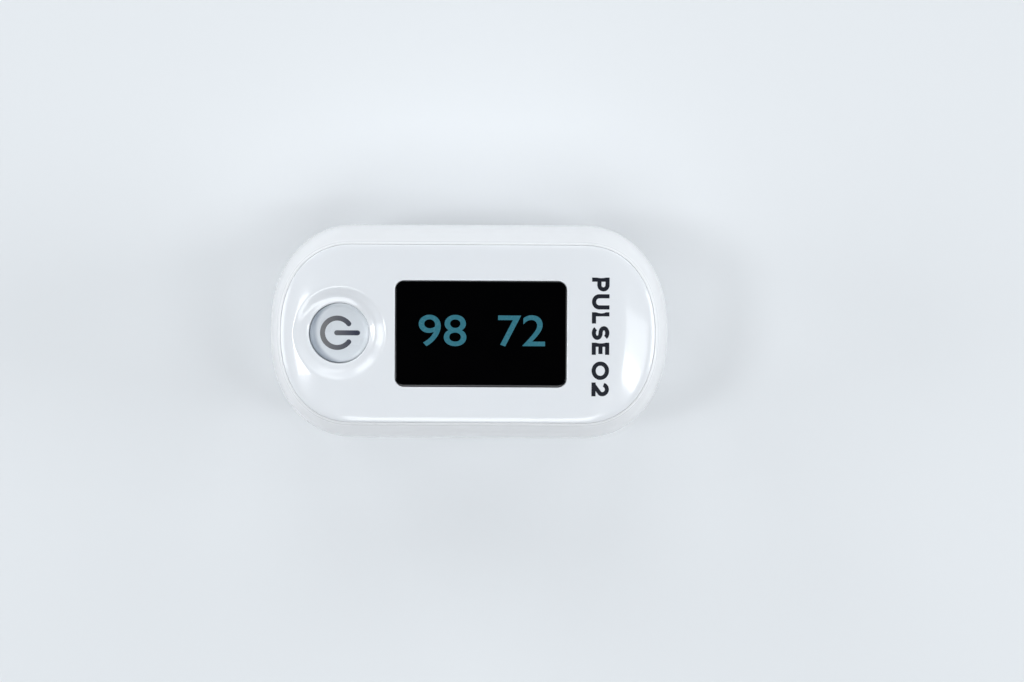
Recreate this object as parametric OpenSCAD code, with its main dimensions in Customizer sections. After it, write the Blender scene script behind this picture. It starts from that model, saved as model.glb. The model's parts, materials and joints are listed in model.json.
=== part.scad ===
// Fingertip pulse oximeter, modelled as the separate pieces it is assembled from.
// Frame: +X points at the fingertip and the squeeze tail, the finger enters from -X,
// +Z is up, and the origin is the middle of the rest face.

/* [Body] */
// Length of the outline at the parting plane
body_l = 61.4; // [61:0.1:62]
// Overall width across the finger
body_w = 33; // [32.8:0.1:34]
// Overall height with the jaws closed
body_h = 32; // [32:0.1:33]
// Height of the parting plane between the two jaws
part_z = 17.6; // [17.5:0.05:17.8]
// Wall thickness of the two outer covers
wall = 1.6; // [1.4:0.05:1.6]
// Half gap between the two covers along the parting plane
seam_gap = 0.3; // [0.2:0.05:0.4]

/* [Top face] */
// Half length of the glossy front panel
panel_a = 28.15; // [27.8:0.05:28.2]
// Half width of the glossy front panel
panel_b = 13.3; // [13:0.05:13.35]
// How far the top face falls at its two ends
end_drop = 1.8; // [1.2:0.1:2]
// Length of the display window
window_l = 25.6; // [24:0.1:26]
// Width of the display window
window_w = 15.8; // [15:0.1:16]
// Middle of the display window along X
window_x = 2; // [1.5:0.1:2.5]
// Corner radius of the display window
window_r = 1.3; // [0.8:0.1:1.8]

/* [Power button] */
// Middle of the power button along X
button_x = -19.3; // [-19.6:0.1:-19]
// Radius of the hole that the button sits in
button_hole_r = 4.55; // [4.4:0.05:4.7]
// Outer radius of the dish around the button
dish_r = 7; // [6.6:0.1:7.2]

/* [Finger channel] */
// Radius of each pad's surface
channel_r = 8.7; // [8.5:0.05:8.8]
// Distance of each pad's centre line from the parting plane
channel_off = 4.3; // [4.2:0.05:4.4]
// Thickness of the silicone pads
pad_t = 1; // [0.9:0.05:1]
// Where the fingertip stops
stop_x = 8; // [7:0.5:8]

/* [Hinge] */
// Position of the hinge pin along X
hinge_x = 15.5; // [15:0.1:16]
// Radius of the hinge pin
pin_r = 1; // [0.9:0.05:1]
// Slope of the squeeze gap on each jaw behind the hinge
tail_slope = 0.2; // [0.18:0.01:0.22]

/* [Batteries] */
// Length of an AAA cell with its nub
cell_l = 44.5; // [44:0.1:44.5]
// Radius of an AAA cell
cell_r = 5.25; // [5:0.05:5.25]
// Distance of each cell's axis from the middle
cell_y = 5.6; // [5.5:0.05:5.6]
// Height of the cells' axes
cell_z = 6.75; // [6.7:0.05:6.8]

/* [Hidden] */
$fn = 48;
seg = 14;            // outline segments in each quarter
cap_n = 2.2;         // exponent of the superelliptic ends
cap_s = 17.25;       // half length of the straight sides
panel_t = 1.4;
deck_t = 1.3;
rim_z = body_h - 0.8;
A = body_l / 2;
B = body_w / 2;
upper_cz = part_z - channel_off;   // centre line of the upper channel
lower_cz = part_z + channel_off;   // centre line of the lower channel
trough_t = 1;
trough_ri = channel_r + pad_t;
trough_ro = trough_ri + trough_t;
hinge_z = part_z;
flange_gap = 1;      // hard flanges stand this far from the parting plane
tail_gap = 3.5;      // tail plates stand this far from the parting plane
plate_t = 1.2;

// Outer half length and half width of the lower jaw at some heights
LOW_A = [[0, A - 4.0], [0.3, A - 3.35], [0.8, A - 2.85], [1.6, A - 2.4], [4, A - 1.65], [8, A - 0.85], [12, A - 0.35], [17.6, A]];
LOW_B = [[0, B - 4.0], [0.3, B - 3.35], [0.8, B - 2.85], [1.6, B - 2.45], [4, B - 1.7], [8, B - 0.9], [12, B - 0.4], [17.6, B]];

// ---- outline and loft helpers ----
function cap_x(a, t) = cap_s + (a - cap_s) * pow(abs(cos(t)), 2 / cap_n);
function cap_y(b, t) = b * pow(abs(sin(t)), 2 / cap_n);
function pt_at(a, b, t, side) = [side * cap_x(a, t), (t > 180 ? -1 : 1) * cap_y(b, t)];
ANG = [for (i = [0 : seg]) [i * 90 / seg, 1], for (i = [0 : seg]) [90 + i * 90 / seg, -1],
       for (i = [1 : seg]) [180 + i * 90 / seg, -1], for (i = [0 : seg - 1]) [270 + i * 90 / seg, 1]];
function outline(a, b) = [for (k = ANG) pt_at(a, b, k[0], k[1])];
function drop(x, y) = let (e = max(0, abs(x) - 20) / (panel_a - 20)) end_drop * e * e * (0.85 + 0.3 * pow(y / panel_b, 2));
function tail(x) = x > hinge_x ? (x - hinge_x) * tail_slope : 0;
function upper_a(u) = A - 2.0 * pow(u, 2.2);
function upper_b(u) = B - 2.75 * pow(u, 1.9);
function unit(v) = v / norm(v);

// Rings run from the bottom middle, outward and up, to the top middle
module loft(rings) {
  m = len(rings[0]);
  k = len(rings);
  function mid(r) = [for (c = [0 : 2]) ([for (p = r) p[c]] * [for (p = r) 1]) / len(r)];
  pts = [for (r = rings) each r, mid(rings[0]), mid(rings[k - 1])];
  polyhedron(points = pts, faces = [
    for (j = [0 : k - 2], i = [0 : m - 1]) let (n = (i + 1) % m) each [
      [j * m + i, (j + 1) * m + i, (j + 1) * m + n], [j * m + i, (j + 1) * m + n, j * m + n]],
    for (i = [0 : m - 1]) [k * m, i, (i + 1) % m],
    for (i = [0 : m - 1]) [k * m + 1, (k - 1) * m + (i + 1) % m, (k - 1) * m + i]
  ], convexity = 8);
}

// A round tube along points, its rings set square to ref
module tube(path, r, ref, sides = 6) {
  n = len(path);
  function tan_at(i) = unit(path[min(i + 1, n - 1)] - path[max(i - 1, 0)]);
  pts = [for (i = [0 : n - 1]) let (t = tan_at(i), u = unit(cross(t, ref)), v = cross(t, u))
    for (s = [0 : sides - 1]) path[i] + r * (cos(360 * s / sides) * u + sin(360 * s / sides) * v)];
  polyhedron(points = pts, faces = [
    for (j = [0 : n - 2], i = [0 : sides - 1]) let (q = (i + 1) % sides) each [
      [j * sides + i, (j + 1) * sides + i, (j + 1) * sides + q], [j * sides + i, (j + 1) * sides + q, j * sides + q]],
    [for (i = [0 : sides - 1]) i],
    [for (i = [sides - 1 : -1 : 0]) (n - 1) * sides + i]
  ], convexity = 8);
}

module plan(a, b, z0, z1) translate([0, 0, z0]) linear_extrude(z1 - z0) polygon(outline(a, b));
module slab(x0, x1, y0, y1, z0, z1) translate([x0, y0, z0]) cube([x1 - x0, y1 - y0, z1 - z0]);
module along_x(r, x0, x1, z, y = 0) translate([x0, y, z]) rotate([0, 90, 0]) cylinder(r = r, h = x1 - x0);
module along_y(r, y0, y1, x, z) translate([x, y0, z]) rotate([-90, 0, 0]) cylinder(r = r, h = y1 - y0);
module round_rect(l, w, r, z0, z1) translate([0, 0, z0]) linear_extrude(z1 - z0) union() {
  square([l - 2 * r, w], center = true);
  square([l, w - 2 * r], center = true);
  for (x = [-1, 1], y = [-1, 1]) translate([x * (l / 2 - r), y * (w / 2 - r)]) circle(r);
}
// Thin sheet that follows points in the XZ plane, w wide along Y
module ribbon(path, t, w) {
  n = len(path);
  function nrm(i) = let (d = unit(path[min(i + 1, n - 1)] - path[max(i - 1, 0)])) [-d[1], d[0]];
  translate([0, w / 2, 0]) rotate([90, 0, 0]) linear_extrude(w) polygon([
    for (i = [0 : n - 1]) path[i] + nrm(i) * t / 2, for (i = [n - 1 : -1 : 0]) path[i] - nrm(i) * t / 2]);
}
module self_tapper(l, head_r = 1.5, head_h = 0.9, r = 0.8) {
  difference() {
    cylinder(r = head_r, h = head_h);
    for (a = [0, 90]) rotate([0, 0, a]) translate([-head_r * 0.6, -0.18, -0.1]) cube([head_r * 1.2, 0.36, 0.6]);
  }
  translate([0, 0, head_h - 0.01]) cylinder(r = r, h = l - 0.6);
  translate([0, 0, head_h + l - 0.62]) cylinder(r1 = r, r2 = 0.3, h = 0.6);
}

// ---- outer covers ----
function up_ring(u, inset) = [for (k = ANG) let (
    p0 = pt_at(A, B, k[0], k[1]), top = rim_z - drop(p0[0] * 0.93, p0[1] * 0.85),
    low = part_z + seam_gap + tail(p0[0]), z = low + u * (top - low), uu = max(0, (z - part_z) / (top - part_z)),
    p = pt_at(upper_a(uu) - inset, upper_b(uu) - inset, k[0], k[1])) [p[0], p[1], z]];
function top_ring(a, b, h) = [for (k = ANG) let (p = pt_at(a, b, k[0], k[1])) [p[0], p[1], body_h - h - drop(p[0], p[1])]];
function top_scaled(a, b, f, h) = [for (k = ANG) let (p = pt_at(a, b, k[0], k[1]) * f) [p[0], p[1], body_h - h - drop(p[0], p[1])]];
function low_ring(z, inset) = [for (k = ANG) let (p = pt_at(lookup(z, LOW_A) - inset, lookup(z, LOW_B) - inset, k[0], k[1])) [p[0], p[1], z]];
function low_edge(inset) = [for (k = ANG) let (x = pt_at(A, B, k[0], k[1])[0], z = part_z - seam_gap - tail(x),
    p = pt_at(lookup(z, LOW_A) - inset, lookup(z, LOW_B) - inset, k[0], k[1])) [p[0], p[1], z]];

module button_cut(extra = 0) translate([button_x, 0, 0]) {
  translate([0, 0, body_h - 5]) cylinder(r = button_hole_r + extra, h = 6);
}
UP_POST = [[-14, 12.2], [-14, -12.2], [24, 8.5], [24, -8.5]];
PCB_POST = [[18.4, 10.6], [18.4, -10.6]];
LOW_POST = [[-14, 12.2, 9.5, 15.3], [-14, -12.2, 9.5, 15.3], [20.5, 11.9, 9.5, 12.8], [20.5, -11.9, 9.5, 12.8]];

module top_cover() color([0.93, 0.94, 0.95]) {
  d = panel_t + deck_t;
  ai = upper_a(1) - wall;
  bi = upper_b(1) - wall;
  difference() {
    union() {
      loft([
        top_scaled(ai, bi, 0.68, d), top_scaled(ai, bi, 0.84, d), top_ring(ai, bi, d),
        up_ring(0.66, wall), up_ring(0.33, wall), up_ring(0, wall),
        up_ring(0, 0), up_ring(0.16, 0), up_ring(0.32, 0), up_ring(0.48, 0), up_ring(0.64, 0), up_ring(0.78, 0), up_ring(0.9, 0), up_ring(1, 0),
        top_ring(upper_a(1) - 0.07, upper_b(1) - 0.07, 0.55), top_ring(upper_a(1) - 0.22, upper_b(1) - 0.22, 0.42),
        top_ring(panel_a + 0.12, panel_b + 0.12, 0.5), top_ring(panel_a + 0.12, panel_b + 0.12, panel_t + 0.1),
        top_scaled(panel_a + 0.12, panel_b + 0.12, 0.84, panel_t + 0.1), top_scaled(panel_a + 0.12, panel_b + 0.12, 0.68, panel_t + 0.1)
      ]);
      for (p = UP_POST) translate([p[0], p[1], part_z + tail_gap + plate_t - (p[0] < 0 ? tail_gap - flange_gap : 0) + 0.1])
        cylinder(r = 1.6, h = (p[0] < 0 ? 9.6 : 6.2));
      for (p = PCB_POST) translate([p[0], p[1], 25.6]) cylinder(r = 1.5, h = 4);
    }
    along_x(trough_ro + 0.15, -A - 1, -20, upper_cz);
    button_cut();
    translate([window_x, 0, 0]) round_rect(window_l - 1.4, window_w - 1.4, 0.8, body_h - 5, body_h);
    for (p = UP_POST) translate([p[0], p[1], 18]) cylinder(r = 0.7, h = (p[0] < 0 ? 6.5 : 8.8));
    for (p = PCB_POST) translate([p[0], p[1], 25]) cylinder(r = 0.6, h = 3.2);
  }
}

// Glossy front panel with a dish round the button
module front_panel() color([0.96, 0.97, 0.98]) difference() {
  loft([
    top_scaled(panel_a, panel_b, 0.68, panel_t), top_scaled(panel_a, panel_b, 0.84, panel_t), top_ring(panel_a, panel_b, panel_t),
    top_ring(panel_a, panel_b, 0.45), top_ring(panel_a - 0.12, panel_b - 0.12, 0.24), top_ring(panel_a - 0.45, panel_b - 0.45, 0.08),
    top_ring(panel_a - 0.9, panel_b - 0.9, 0),
    top_scaled(panel_a, panel_b, 0.9, 0), top_scaled(panel_a, panel_b, 0.82, 0), top_scaled(panel_a, panel_b, 0.75, 0), top_scaled(panel_a, panel_b, 0.68, 0)
  ]);
  button_cut();
  translate([button_x, 0, body_h]) rotate_extrude() polygon([
    [0, 1], [dish_r + 0.6, 1], [dish_r + 0.25, 0.06], [dish_r, 0], [dish_r - 0.3, -0.12], [dish_r - 0.7, -0.42],
    [dish_r - 1.15, -0.75], [dish_r - 1.55, -0.95], [dish_r - 1.9, -1.02], [button_hole_r + 0.3, -1.06], [button_hole_r + 0.08, -1.14], [button_hole_r, -1.3], [0, -1.3]]);
  translate([window_x, 0, 0]) round_rect(window_l + 0.1, window_w + 0.1, window_r + 0.05, body_h - 3, body_h + 1);
}

module display_window() color([0.01, 0.01, 0.012]) translate([window_x, 0, 0])
  round_rect(window_l, window_w, window_r, body_h - panel_t, body_h - 0.02);

module bottom_cover() color([0.93, 0.94, 0.95]) {
  difference() {
    union() {
      loft([
        low_ring(0, 0), low_ring(0.3, 0), low_ring(0.8, 0), low_ring(1.6, 0), low_ring(4, 0), low_ring(8, 0), low_ring(12, 0), low_edge(0),
        low_edge(wall), low_ring(12, wall), low_ring(8, wall), low_ring(4, wall), low_ring(2.2, wall + 0.4)
      ]);
      for (s = [-1, 1]) scale([s, 1, 1]) slab(25, 26, -9.1, 9.1, 1.5, 11);
      for (p = LOW_POST) {
        translate([p[0], p[1], p[2]]) cylinder(r = 1.6, h = p[3] - p[2]);
        scale([1, sign(p[1]), 1]) slab(p[0] - 0.6, p[0] + 0.6, abs(p[1]) + 1, p[0] < 0 ? 14.9 : 14.5, p[2] + 0.1, p[3] - 0.1);
      }
      lanyard_eye();
    }
    along_x(trough_ro + 0.15, -A - 1, -20, lower_cz);
    slab(-21.1, A + 1, -11.5, 11.5, -1, 1.35);
    slab(-25, -21, -7.5, 7.5, -1, 1.35);
    slab(-24.9, 24.9, -9.1, 9.1, 1.3, 2.4);
    slab(-23, 23, -11.1, 11.1, 1.3, 2.4);
    slab(-17.3, A + 1, -12.15, 12.15, 0.45, 1.2);
    for (p = LOW_POST) translate([p[0], p[1], p[3] - 3.6]) cylinder(r = 0.7, h = 5);
    along_y(0.8, -3, 3, 28.1, 15.85);
  }
}
// Eye for a wrist strap, standing in the squeeze gap
module lanyard_eye() {
  slab(26.5, 29.7, -1.1, 1.1, 12.3, 15.85);
  along_y(1.6, -1.1, 1.1, 28.1, 15.85);
}

module battery_door() color([0.93, 0.94, 0.95]) {
  difference() {
    intersection() {
      loft([low_ring(0, 0), low_ring(0.3, 0), low_ring(0.8, 0), low_ring(1.6, 0)]);
      union() {
        slab(-21, A, -11.4, 11.4, -1, 1.25);
        slab(-24.9, A, -7.4, 7.4, -1, 1.25);
      }
    }
    // thumb grip grooves
    for (i = [0 : 4]) slab(13 + i * 1.8, 13.9 + i * 1.8, -5, 5, -0.2, 0.35);
  }
  for (s = [-1, 1]) scale([1, s, 1]) slab(-17, 17, 11.3, 12.05, 0.55, 1.1);
}

// ---- inner covers, hinge ears and pads ----
module ear(y0, y1, up) {
  along_y(2.6, y0, y1, hinge_x, hinge_z);
  if (up) slab(hinge_x - 2.6, hinge_x + 2.6, y0, y1, hinge_z, hinge_z + tail_gap + 0.4);
  else slab(hinge_x - 2.6, hinge_x + 2.6, y0, y1, hinge_z - tail_gap - 0.4, hinge_z);
}
FLEX_X = 12.6;

module upper_inner_cover() color([0.86, 0.87, 0.88]) {
  f0 = part_z + flange_gap;
  t0 = part_z + tail_gap;
  difference() {
    union() {
      intersection() { plan(A - 1.9, B - 1.9, f0, f0 + plate_t); slab(-A, 11.3, -B, B, 0, body_h); }
      intersection() { along_x(trough_ro, -A, stop_x + 2.2, upper_cz); plan(A - 0.7, B - 0.7, f0, body_h); }
      slab(10.1, 11.3, -B + 2.35, B - 2.35, f0, t0 + plate_t);
      intersection() { plan(A - 2.05, B - 2.15, t0, t0 + plate_t); slab(10.1, A, -B, B, 0, body_h); }
      for (s = [-1, 1]) scale([1, s, 1]) ear(11.5, 13.5, true);
    }
    along_x(trough_ri, -A - 1, stop_x, upper_cz);
    along_y(pin_r + 0.05, -B, B, hinge_x, hinge_z);
    translate([-4, 0, 20]) cylinder(r = 3.3, h = 6);
    slab(FLEX_X - 0.7, FLEX_X + 1.9, -2.6, 2.6, 20, 24);
    slab(26, A, -1.6, 1.6, 20, 24);
    for (p = UP_POST) translate([p[0], p[1], 0]) {
      z0 = p[0] < 0 ? f0 : t0;
      translate([0, 0, z0 - 1]) cylinder(r = 0.95, h = 4);
      translate([0, 0, z0 - 1]) cylinder(r = 1.7, h = 1.6);
    }
  }
}

module lower_inner_cover() color([0.86, 0.87, 0.88]) {
  f1 = part_z - flange_gap;
  t1 = part_z - tail_gap;
  difference() {
    union() {
      intersection() { plan(A - 1.9, B - 1.9, f1 - plate_t, f1); slab(-A, 11.3, -B, B, 0, body_h); }
      intersection() { along_x(trough_ro, -A, stop_x + 2.2, lower_cz); plan(A - 0.7, B - 0.7, 0, f1); }
      slab(10.1, 11.3, -B + 2.35, B - 2.35, t1 - plate_t, f1);
      intersection() { plan(A - 2.05, B - 2.15, t1 - plate_t, t1); slab(10.1, 26.2, -B, B, 0, body_h); }
      for (s = [-1, 1]) scale([1, s, 1]) ear(9.2, 11.2, false);
    }
    along_x(trough_ri, -A - 1, stop_x, lower_cz);
    along_y(pin_r + 0.05, -B, B, hinge_x, hinge_z);
    slab(-8.2, 0.2, -3.2, 3.2, 10, 13.5);
    slab(FLEX_X - 0.7, FLEX_X + 0.7, -2.6, 2.6, 12, 15);
    for (p = LOW_POST) translate([p[0], p[1], 0]) {
      z0 = p[0] < 0 ? f1 : t1;
      translate([0, 0, z0 - 3]) cylinder(r = 0.95, h = 4);
      translate([0, 0, z0 - 0.6]) cylinder(r = 1.7, h = 1.6);
    }
  }
}

module pad(up) {
  cz = up ? upper_cz : lower_cz;
  z0 = up ? part_z + 0.2 : part_z - flange_gap + 0.05;
  z1 = up ? part_z + flange_gap - 0.05 : part_z - 0.2;
  difference() {
    union() {
      intersection() {
        along_x(trough_ri - 0.05, -A, stop_x - 0.05, cz);
        plan(A - 0.9, B - 0.9, up ? z0 : 0, up ? body_h : z1);
      }
      intersection() { plan(A - 2.2, 10.6, z0, z1); slab(-A, stop_x + 1, -B, B, 0, body_h); }
    }
    along_x(channel_r, -A - 1, stop_x - 1, cz);
    translate([-4, 0, cz]) scale([1, 1, up ? 1 : -1]) cylinder(r = 3.1, h = 12);
  }
}
module upper_finger_pad() color([0.25, 0.27, 0.29]) pad(true);
module lower_finger_pad() color([0.25, 0.27, 0.29]) pad(false);

// ---- hinge pin and springs ----
module hinge_pin() color([0.75, 0.76, 0.78]) along_y(pin_r, -14.1, 14.1, hinge_x, hinge_z);
coil_r = 2.05;
wire_r = 0.4;
// Four turns round the pin, with a leg toward the tail on each jaw
function torsion_path(y0) = let (turns = 4, steps = 16) [
  [hinge_x + 6.6, y0 - 0.45, hinge_z - tail_gap + 0.55], [hinge_x + 5, y0 - 0.45, hinge_z - 2.45], [hinge_x + 1.2, y0 - 0.45, hinge_z - coil_r - 0.05],
  for (i = [0 : turns * steps - 8]) let (a = -90 - 360 * i / steps) [hinge_x + coil_r * cos(a), y0 + 0.86 * i / steps, hinge_z + coil_r * sin(a)],
  [hinge_x + 1.2, y0 + 0.86 * 3.5 + 0.45, hinge_z + coil_r + 0.05], [hinge_x + 5, y0 + 0.86 * 3.5 + 0.45, hinge_z + 2.45],
  [hinge_x + 6.6, y0 + 0.86 * 3.5 + 0.45, hinge_z + tail_gap - 0.55]];
module torsion_spring_left() color([0.62, 0.64, 0.66]) tube(torsion_path(5), wire_r, [0, 1, 0]);
module torsion_spring_right() color([0.62, 0.64, 0.66]) scale([1, -1, 1]) tube(torsion_path(5), wire_r, [0, 1, 0]);

// Ribbon between the two jaws, passing in front of the pin
module flex_cable() color([0.72, 0.45, 0.12]) ribbon([
  [-1.5, 11.2], [0.5, 10.8], [3, 10.7], [9, 10.7], [11, 11.1], [12.1, 12], [12.6, 13.2], [12.75, 14.6], [12.55, 16], [12.5, 17.6],
  [12.6, 19.2], [12.8, 20.6], [12.9, 21.8], [13.3, 22.8], [14, 23.4], [14.96, 23.6]], 0.2, 4);

// ---- batteries and contacts ----
module cell() {
  along_x(cell_r, 0, cell_l - 1, 0);
  along_x(1.9, cell_l - 1.01, cell_l, 0);
}
module aaa_cell_left() color([0.15, 0.33, 0.62]) translate([20.4, -cell_y, cell_z]) rotate([0, 0, 180]) cell();
module aaa_cell_right() color([0.15, 0.33, 0.62]) translate([-20.4, cell_y, cell_z]) cell();
module series_contact() color([0.8, 0.79, 0.72]) {
  slab(-24.98, -24.7, -8, 8, 4, 10.1);
  along_x(1.7, -24.71, -24.15, cell_z, -cell_y);
}
module positive_contact() color([0.8, 0.79, 0.72]) {
  slab(24.7, 24.98, cell_y - 3.2, cell_y + 3.2, 3.4, 10.1);
  slab(24.7, 24.98, cell_y - 1, cell_y + 1, 10, 12.3);
  along_x(1.7, 24.15, 24.71, cell_z, cell_y);
}
module negative_contact() color([0.8, 0.79, 0.72]) {
  slab(24.7, 24.98, -cell_y - 3.2, -cell_y + 3.2, 3.4, 10.1);
  slab(24.7, 24.98, -cell_y - 1, -cell_y + 1, 10, 12.3);
}
// Conical coil from the contact plate to the flat end of the cell
function cone_coil(h) = let (turns = 4.5, steps = 14, n = turns * steps) [for (i = [0 : n]) let (
  f = i / n, a = 360 * i / steps, r = 3 - 1.1 * f, x = 0.3 + (h - 0.6) * max(0, min(1, (f - 0.1) / 0.8))) [x, r * cos(a), r * sin(a)]];
module front_battery_spring() color([0.8, 0.79, 0.72]) translate([-24.7, cell_y, cell_z]) tube(cone_coil(4.3), 0.25, [1, 0, 0], 6);
module rear_battery_spring() color([0.8, 0.79, 0.72]) translate([24.7, -cell_y, cell_z]) scale([-1, 1, 1]) tube(cone_coil(4.3), 0.25, [1, 0, 0], 6);

// ---- light path ----
module detector_board() color([0.1, 0.35, 0.2]) slab(-8, 0, -3, 3, 11.38, 11.9);
module photodiode() color([0.12, 0.12, 0.13]) slab(-5.6, -2.4, -1.6, 1.6, 11.92, 12.36);
module detector_lens() color([0.8, 0.85, 0.9, 0.6]) translate([-4, 0, 12.4]) cylinder(r = 3, h = 0.7);
module emitter_led() color([0.9, 0.88, 0.8]) slab(-5.6, -2.4, -1.4, 1.4, 23.25, 24.48);
module emitter_lens() color([0.8, 0.85, 0.9, 0.6]) translate([-4, 0, 22.15]) cylinder(r = 3, h = 0.8);

// ---- electronics in the upper jaw ----
PCB_Z = 24.5;
module main_pcb() color([0.08, 0.33, 0.2]) difference() {
  intersection() { plan(A - 3.2, B - 3.2, PCB_Z, PCB_Z + 1); slab(-A, 20.6, -B, B, 0, body_h); }
  for (p = UP_POST) if (p[0] < 0) translate([p[0], p[1], PCB_Z - 1]) cylinder(r = 1.9, h = 3);
  for (p = PCB_POST) translate([p[0], p[1], PCB_Z - 1]) cylinder(r = 0.85, h = 3);
}
module microcontroller() color([0.07, 0.07, 0.08]) translate([9, 2.5, PCB_Z + 1.02]) {
  translate([-3.5, -3.5, 0.1]) cube([7, 7, 1.1]);
  for (k = [0 : 3]) rotate([0, 0, 90 * k]) for (i = [-5 : 5]) translate([3.4, i * 0.55 - 0.12, 0]) cube([1, 0.24, 0.18]);
}
module analog_amplifier() color([0.07, 0.07, 0.08]) translate([-4, 5.3, PCB_Z + 1.02]) {
  translate([-2.5, -2.2, 0.1]) cube([5, 4.4, 1]);
  for (s = [-1, 1], i = [-3 : 3]) translate([i * 0.65 - 0.12, s > 0 ? 2.1 : -3.1, 0]) cube([0.24, 1, 0.18]);
}
module crystal() color([0.78, 0.79, 0.8]) translate([3.2, -5.2, PCB_Z + 1.02]) round_rect(3.2, 2.5, 0.3, 0, 0.8);
module boost_inductor() color([0.2, 0.2, 0.21]) translate([-7.5, -5.5, PCB_Z + 1.02]) difference() {
  round_rect(4, 4, 0.6, 0, 1.5);
  translate([0, 0, 1.3]) cylinder(r = 1.3, h = 1);
}
CAPS = [[-1.2, -7.2], [0.8, -7.2], [6.6, -6.4], [8.6, -6.4], [10.6, -6.4], [13.6, 6.4], [19, -1.6], [-10.4, 4.8], [-10.4, 6.8], [-0.2, 2.2], [-0.2, 0.2]];
module capacitors() color([0.62, 0.5, 0.36]) for (c = CAPS) translate([c[0] - 0.8, c[1] - 0.4, PCB_Z + 1.02]) cube([1.6, 0.8, 0.8]);
module flex_connector() color([0.85, 0.83, 0.76]) slab(15, 18.2, -3.2, 3.2, 23.1, PCB_Z - 0.02);
module switch_body() color([0.14, 0.14, 0.15]) translate([button_x, 0, PCB_Z + 1.02]) difference() {
  translate([-2.6, -2.6, 0]) cube([5.2, 5.2, 1.5]);
  translate([0, 0, 0.4]) cylinder(r = 1.35, h = 2);
}
module switch_plunger() color([0.75, 0.72, 0.62]) translate([button_x, 0, PCB_Z + 2.3]) cylinder(r = 1.1, h = 0.8);
module display_bracket() color([0.9, 0.9, 0.9]) translate([window_x, 0, 0]) difference() {
  round_rect(29, 20.4, 1, PCB_Z + 1.02, 28.1);
  round_rect(26.6, 18, 0.6, PCB_Z, 27.4);
  round_rect(28.2, 19.6, 0.6, 27.4, 29);
  slab(10, 20, -6.2, 6.2, PCB_Z + 1, 29);
}
module oled_display() color([0.03, 0.03, 0.05]) translate([window_x, 0, 0]) {
  round_rect(28, 19.4, 0.4, 27.45, 28.25);
  translate([-1, 0, 0]) round_rect(25.4, 17.4, 0.4, 28.24, 28.95);
}
module display_gasket() color([0.1, 0.1, 0.1]) translate([window_x, 0, 0]) difference() {
  round_rect(27.2, 18.6, 1.4, 28.97, body_h - panel_t - deck_t - 0.02);
  round_rect(window_l - 1.4, window_w - 1.4, 0.8, 28, 30);
}
module display_flex() color([0.72, 0.45, 0.12]) ribbon([[15.2, 28.4], [16.3, 28.4], [16.9, 28.1], [17.2, 27.4], [17.15, 26.6], [16.7, 26], [15.8, 25.8], [13.6, 25.75]], 0.2, 11);
module power_button() color([0.83, 0.85, 0.87]) translate([button_x, 0, 0]) {
  translate([0, 0, 28.4]) cylinder(r = button_hole_r - 0.15, h = 1.6);
  translate([0, 0, 28.05]) cylinder(r = 5.2, h = 0.5);
  translate([0, 0, PCB_Z + 3.12]) cylinder(r = 1.6, h = 1);
}

// ---- fasteners ----
module upper_screws() color([0.6, 0.61, 0.63]) for (p = UP_POST)
  translate([p[0], p[1], p[0] < 0 ? part_z + flange_gap - 0.32 : part_z + tail_gap - 0.32]) self_tapper(4.4);
module pcb_screws() color([0.6, 0.61, 0.63]) for (p = PCB_POST) translate([p[0], p[1], PCB_Z - 0.72]) self_tapper(3.4, 1.3, 0.7, 0.65);
module lower_screws() color([0.6, 0.61, 0.63]) for (p = LOW_POST)
  translate([p[0], p[1], p[0] < 0 ? part_z - flange_gap + 0.32 : part_z - tail_gap + 0.32]) rotate([180, 0, 0]) self_tapper(3.6);

bottom_cover();
battery_door();
lower_inner_cover();
lower_finger_pad();
lower_screws();
aaa_cell_left();
aaa_cell_right();
series_contact();
positive_contact();
negative_contact();
front_battery_spring();
rear_battery_spring();
detector_board();
photodiode();
detector_lens();
hinge_pin();
torsion_spring_left();
torsion_spring_right();
flex_cable();
top_cover();
front_panel();
display_window();
display_gasket();
oled_display();
display_flex();
display_bracket();
main_pcb();
microcontroller();
analog_amplifier();
crystal();
boost_inductor();
capacitors();
flex_connector();
switch_body();
switch_plunger();
emitter_led();
emitter_lens();
upper_inner_cover();
upper_finger_pad();
upper_screws();
pcb_screws();
power_button();
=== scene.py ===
import json
import math

import bmesh
import bpy
import numpy as np
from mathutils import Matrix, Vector, geometry


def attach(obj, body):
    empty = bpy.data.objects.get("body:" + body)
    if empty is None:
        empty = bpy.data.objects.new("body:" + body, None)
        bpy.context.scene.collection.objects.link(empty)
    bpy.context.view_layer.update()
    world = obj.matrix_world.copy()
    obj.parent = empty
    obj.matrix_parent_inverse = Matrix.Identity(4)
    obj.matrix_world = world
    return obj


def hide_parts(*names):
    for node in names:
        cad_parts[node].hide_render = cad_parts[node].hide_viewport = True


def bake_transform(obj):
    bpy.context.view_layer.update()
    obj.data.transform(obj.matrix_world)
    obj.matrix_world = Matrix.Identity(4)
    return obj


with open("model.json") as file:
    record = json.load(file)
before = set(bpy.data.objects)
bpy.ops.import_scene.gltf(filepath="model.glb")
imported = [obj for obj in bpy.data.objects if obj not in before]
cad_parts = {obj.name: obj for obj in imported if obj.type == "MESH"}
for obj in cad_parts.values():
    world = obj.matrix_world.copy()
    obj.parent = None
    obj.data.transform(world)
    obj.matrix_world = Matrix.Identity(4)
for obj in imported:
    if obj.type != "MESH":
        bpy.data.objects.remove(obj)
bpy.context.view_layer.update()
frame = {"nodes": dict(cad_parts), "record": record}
NODES = frame["nodes"]
MM = 0.001
scene = bpy.context.scene

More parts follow.
